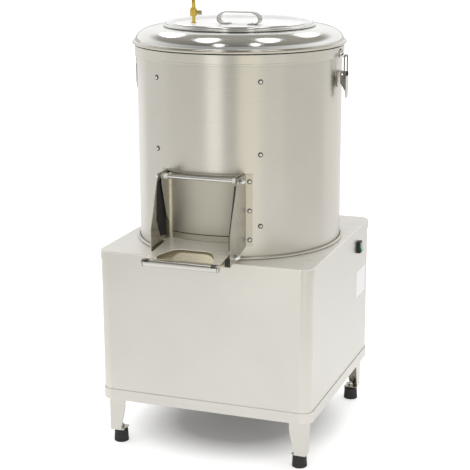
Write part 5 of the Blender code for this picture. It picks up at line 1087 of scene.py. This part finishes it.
# %% The drive
for solid, body, finish, width in (
        ("peeling_disc", "rotor", "abrasive_disc", 0.0006), ("spindle", "rotor", "polished_steel", 0.0006),
        ("driven_pulley", "rotor", "cast_iron", 0.0005), ("motor_pulley", "motor_shaft", "cast_iron", 0.0004),
        ("v_belt", "machine", "black_rubber", 0.0004), ("motor", "machine", "motor_paint", 0.0006),
        ("motor_hanger", "machine", "zinc_steel", 0.0008), ("bearing_housing", "machine", "cast_iron", 0.0008),
        ("spindle_bearing_upper", "machine", "polished_steel", 0.0003),
        ("spindle_bearing_lower", "machine", "polished_steel", 0.0003),
        ("spindle_seal", "machine", "black_rubber", 0.0003)):
    dress(solid, body, finish, width)

# %% [markdown]
# Small fasteners finish the sheet metal. The drum's screws have polished domed heads on washers of
# brown fibre, three down each side of its front and the same behind, and three more with dark washers
# hold each flange of the chute. The rear panel has six, and a thin seam closes the rolled drum.

# %% The screws and the drum's seam
washer_height = 0.0011
socket = 0.0014


def screws(name, places, washer_finish, radius=0.0040, height=0.0029, washer_radius=0.0058):
    """Domed heads with a hexagon socket, each standing on its washer."""
    heads, washers = bmesh.new(), bmesh.new()
    profile = [(socket, height * 0.45), (socket, height * 0.99), (socket + 0.0003, height)]
    profile += dome_head(radius, height, range(30, 90, 10)) + [(radius, 0), (socket, 0)]
    for place in places:
        head = lathe(profile, 24)
        bmesh.ops.create_circle(head, cap_ends=True, segments=6, radius=socket + 0.0002,
                                matrix=at(0, 0, height * 0.5))
        add(heads, head, place @ at(0, 0, washer_height))
        add(washers, lathe(pin(washer_radius, 0, washer_height, 0.0003, 0.0010), 24), place)
    piece(name + "-screws", heads, "machine", "polished_steel", smooth=50)
    piece(name + "-washers", washers, "machine", washer_finish)


def round_front(angles, levels, radius):
    """Places on the drum's side, at angles in degrees from the front."""
    return [about_z(angle - 90) @ at(radius, 0, level, along_x) for angle in angles for level in levels]


flange_outer = drum_radius + seat + sheet
screws("drum", round_front((-30.8, 30.8, 149.2, 210.8), (0.078, 0.2435, 0.408), drum_radius), "sealing_fibre")
screws("chute", round_front((-24.9, 24.9), (0.047, 0.115, 0.183), flange_outer), "dark_zinc_and_painted_shade")
panel_level, panel_reach = -0.1855, 0.115
screws("panel", [at(across, cabinet_half, panel_level + rise, along_y) for across in (-0.170, 0, 0.170)
                 for rise in (panel_reach, -panel_reach)], "zinc_steel", 0.0036, 0.0024, 0.0048)

seam = arc_band(band(drum_radius - 0.0002, drum_radius + seat, 0.010, 0.442), 4, 0.9, 89.5)
piece("drum-seam", seam, "machine", "drum_steel")

# %% [markdown]
# A plain white plate is stuck to the right side under the switch. It is left blank.

# %% The blank plate
shell_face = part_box("cabinet_shell")[1].x - axis_x
label = rounded_plate(0.0435, 0.034, 0.003, 4)
raise_faces(label, 0.0004)
moved(label, at(shell_face + 0.00002, 0.1785, -0.148, facing_right))
piece("blank-plate", label, "machine", "white_label")

# %% [markdown]
# Metal shows what stands round it, so the studio is built for its reflections as much as its light.
# The floor is white and glows a little for the camera, more with the distance from the machine, which
# takes the grey out of the background; the glow is weakest under the cabinet, so the shadow there is
# partly painted shadow. For mirror rays it glows more near the machine, a painted reflection of light.

# %% The floor
floor_tree, floor_shader = start_material("floor", (0.90, 0.90, 0.90), 0.9, 0)
floor_sheet = bmesh.new()
bmesh.ops.create_grid(floor_sheet, x_segments=1, y_segments=1, size=30)
floor = to_object("floor", floor_sheet, "floor")

floor_rays = add_node(floor_tree, "ShaderNodeLightPath").outputs
floor_place = add_node(floor_tree, "ShaderNodeTexCoord").outputs["Object"]
from_machine = add_node(floor_tree, "ShaderNodeVectorMath", {0: floor_place, 1: (axis_x, axis_y, 0)},
                        operation="DISTANCE").outputs["Value"]
# Camera rays see a glow that fades toward the machine: a painted shadow under the cabinet.
painted_shadow_glow = combine(floor_tree, "MULTIPLY", floor_rays["Is Camera Ray"],
                    remap(floor_tree, from_machine, 0.04, 0.48, 0.15, 0.28))
# Mirror rays see a stronger glow near the machine: painted light in the metal's reflections of the floor.
painted_reflection_glow = combine(floor_tree, "MULTIPLY", floor_rays["Is Glossy Ray"],
                      remap(floor_tree, from_machine, 0.32, 0.08, 0.4, 2.0))
fill(floor_tree, floor_shader, {"Specular IOR Level": 0.1, "Emission Color": (1, 1, 1, 1),
                                "Emission Strength": combine(floor_tree, "ADD", painted_shadow_glow, painted_reflection_glow)})

# %% [markdown]
# Overhead the room is dark, and that darkness draws the lens-shaped band on the lid's shoulder. It is
# darkest toward the camera, because a photographer works with the room's lights out.
# Only mirror rays see the dark ceiling. The camera sees plain white behind the machine, and a third
# and even white lights it.

# %% The world, white for the camera and dark overhead for mirrors
world = bpy.data.worlds.new("studio")
scene.world = world
world.use_nodes = True
sky = world.node_tree
sky.nodes.clear()


def background(colour, strength=1):
    return add_node(sky, "ShaderNodeBackground", {"Color": colour, "Strength": strength}).outputs["Background"]


def mix(share, first, second):
    return add_node(sky, "ShaderNodeMixShader", {"Fac": share, 1: first, 2: second}).outputs["Shader"]


ceiling_tilt = math.radians(5.5)
overhead = (0, math.sin(ceiling_tilt), math.cos(ceiling_tilt))
direction = add_node(sky, "ShaderNodeTexCoord").outputs["Generated"]
toward = add_node(sky, "ShaderNodeVectorMath", {0: direction, 1: overhead}, operation="DOT_PRODUCT")
ceiling = blend(sky, toward.outputs["Value"], (1.0, 1.0, 0.99), (0.36, 0.345, 0.31), 0.49, 0.63)
compass = add_node(sky, "ShaderNodeSeparateXYZ", {"Vector": direction}).outputs["Y"]
dimming = remap(sky, compass, 0.40, 1.05, -0.85, 0.45)
dimmed = add_node(sky, "ShaderNodeVectorMath", {0: ceiling, "Scale": dimming}, operation="SCALE")

rays = add_node(sky, "ShaderNodeLightPath").outputs
by_mirror = mix(rays["Is Glossy Ray"], background((1, 1, 1, 1)), background(dimmed.outputs["Vector"]))
seen = combine(sky, "MAXIMUM", rays["Is Camera Ray"], rays["Is Glossy Ray"])
room = mix(seen, background((1, 0.995, 0.985, 1), 0.86), by_mirror)
add_node(sky, "ShaderNodeOutputWorld", {"Surface": room})

# %% [markdown]
# A row of paper cards stands in a ring round the machine. The camera looks through them, because only
# mirror rays see them, and the drum shows them as its upright light and dark bands. Those at the back
# are lower, with greyer cards above them, which dim the two ends of the lid's shoulder.
# A photographer would hang grey and white cards on stands in the same places.

# %% The ring of cards
card_ring = 2.3
card_height = 1.15
split_height = 0.72
cards = [
    ("behind", -180, -163, (0.94, 0.93, 0.91), 0, split_height),
    ("far-left", -163, -108, (1.14, 1.14, 1.13), 0, split_height),
    ("left", -108, -62, (0.88, 0.87, 0.84), 0, card_height),
    ("front-left", -62, -15, (0.83, 0.81, 0.76), 0, card_height),
    ("bright", -15, 2, (1.42, 1.40, 1.32), 0, card_height),
    ("camera-side", 2, 18, (0.60, 0.59, 0.54), 0, card_height),
    ("warm", 18, 42, (1.14, 1.10, 0.95), 0, card_height),
    ("right", 42, 68, (0.92, 0.89, 0.82), 0, card_height),
    ("far-right", 68, 124, (0.80, 0.78, 0.73), 0, card_height),
    ("back-right", 124, 180, (1.02, 1.00, 0.98), 0, split_height),
    ("high-left", -180, -112, (0.60, 0.60, 0.585), split_height, card_height),
    ("high-right", 124, 180, (0.70, 0.70, 0.685), split_height, card_height),
]
for name, start, end, colour, low, high in cards:
    card = bmesh.new()
    line = curve((axis_x, axis_y), card_ring, start - 90, end - 90, max(2, round((end - start) / 4)))
    for (x, y), (next_x, next_y) in zip(line, line[1:]):
        card.faces.new([card.verts.new(place) for place in
                        ((x, y, low), (next_x, next_y, low), (next_x, next_y, high), (x, y, high))])
    card_tree, card_shader = start_material("card-" + name, (0, 0, 0), 1, 0)
    fill(card_tree, card_shader, {"Specular IOR Level": 0, "Emission Color": (*colour, 1),
                                  "Emission Strength": 1})
    standing = to_object("card-" + name, card, "card-" + name)
    for kind in ("visible_camera", "visible_diffuse", "visible_transmission", "visible_shadow"):
        setattr(standing, kind, False)

# %% [markdown]
# Six soft lamps hang round the lid, four at the back and sides and two in front. The lid's shoulder
# shows each as a bright ellipse, so each is an ellipse itself, and its direction is given as seen from
# the lid: an angle round from the front, an angle above the level, and a distance. The shoulder
# squeezes what it mirrors, so the lamps are long, and a tilt turns each one until its picture lies
# right. They are weak, because the white room already lights the machine, and a strong lamp would
# burn out the pale sheet.

# %% The lamps
lid_top = Vector((axis_x, axis_y, deck + dome_base))
for name, round_angle, above, distance, width, height, tilt, radiance in (
        ("back-left", -136, 37, 2.8, 1.35, 0.48, 41, 1.8),
        ("high-left", -101, 70, 2.2, 1.70, 0.50, 15, 1.7),
        ("high-right", 138, 72, 2.2, 1.70, 0.48, 166, 1.7),
        ("back-right", 174, 38, 2.7, 1.30, 0.48, 141, 1.8),
        ("front-left", -8, 50, 2.6, 1.75, 0.42, 104, 1.5),
        ("front-right", 44, 57, 2.6, 1.75, 0.38, 76, 1.5)):
    lamp_data = bpy.data.lights.new(name, "AREA")
    lamp_data.shape = "ELLIPSE"
    lamp_data.size = width
    lamp_data.size_y = height
    lamp_data.energy = radiance * math.pi ** 2 * width * height / 4
    lamp = bpy.data.objects.new(name, lamp_data)
    turn, rise = math.radians(round_angle), math.radians(above)
    away = Vector((math.sin(turn) * math.cos(rise), -math.cos(turn) * math.cos(rise), math.sin(rise)))
    lamp.location = lid_top + away * distance
    facing = away.to_track_quat("Z", "Y") @ Quaternion((0, 0, 1), math.radians(tilt))
    lamp.rotation_euler = facing.to_euler()
    scene.collection.objects.link(lamp)

scene.view_settings.view_transform = "Standard"
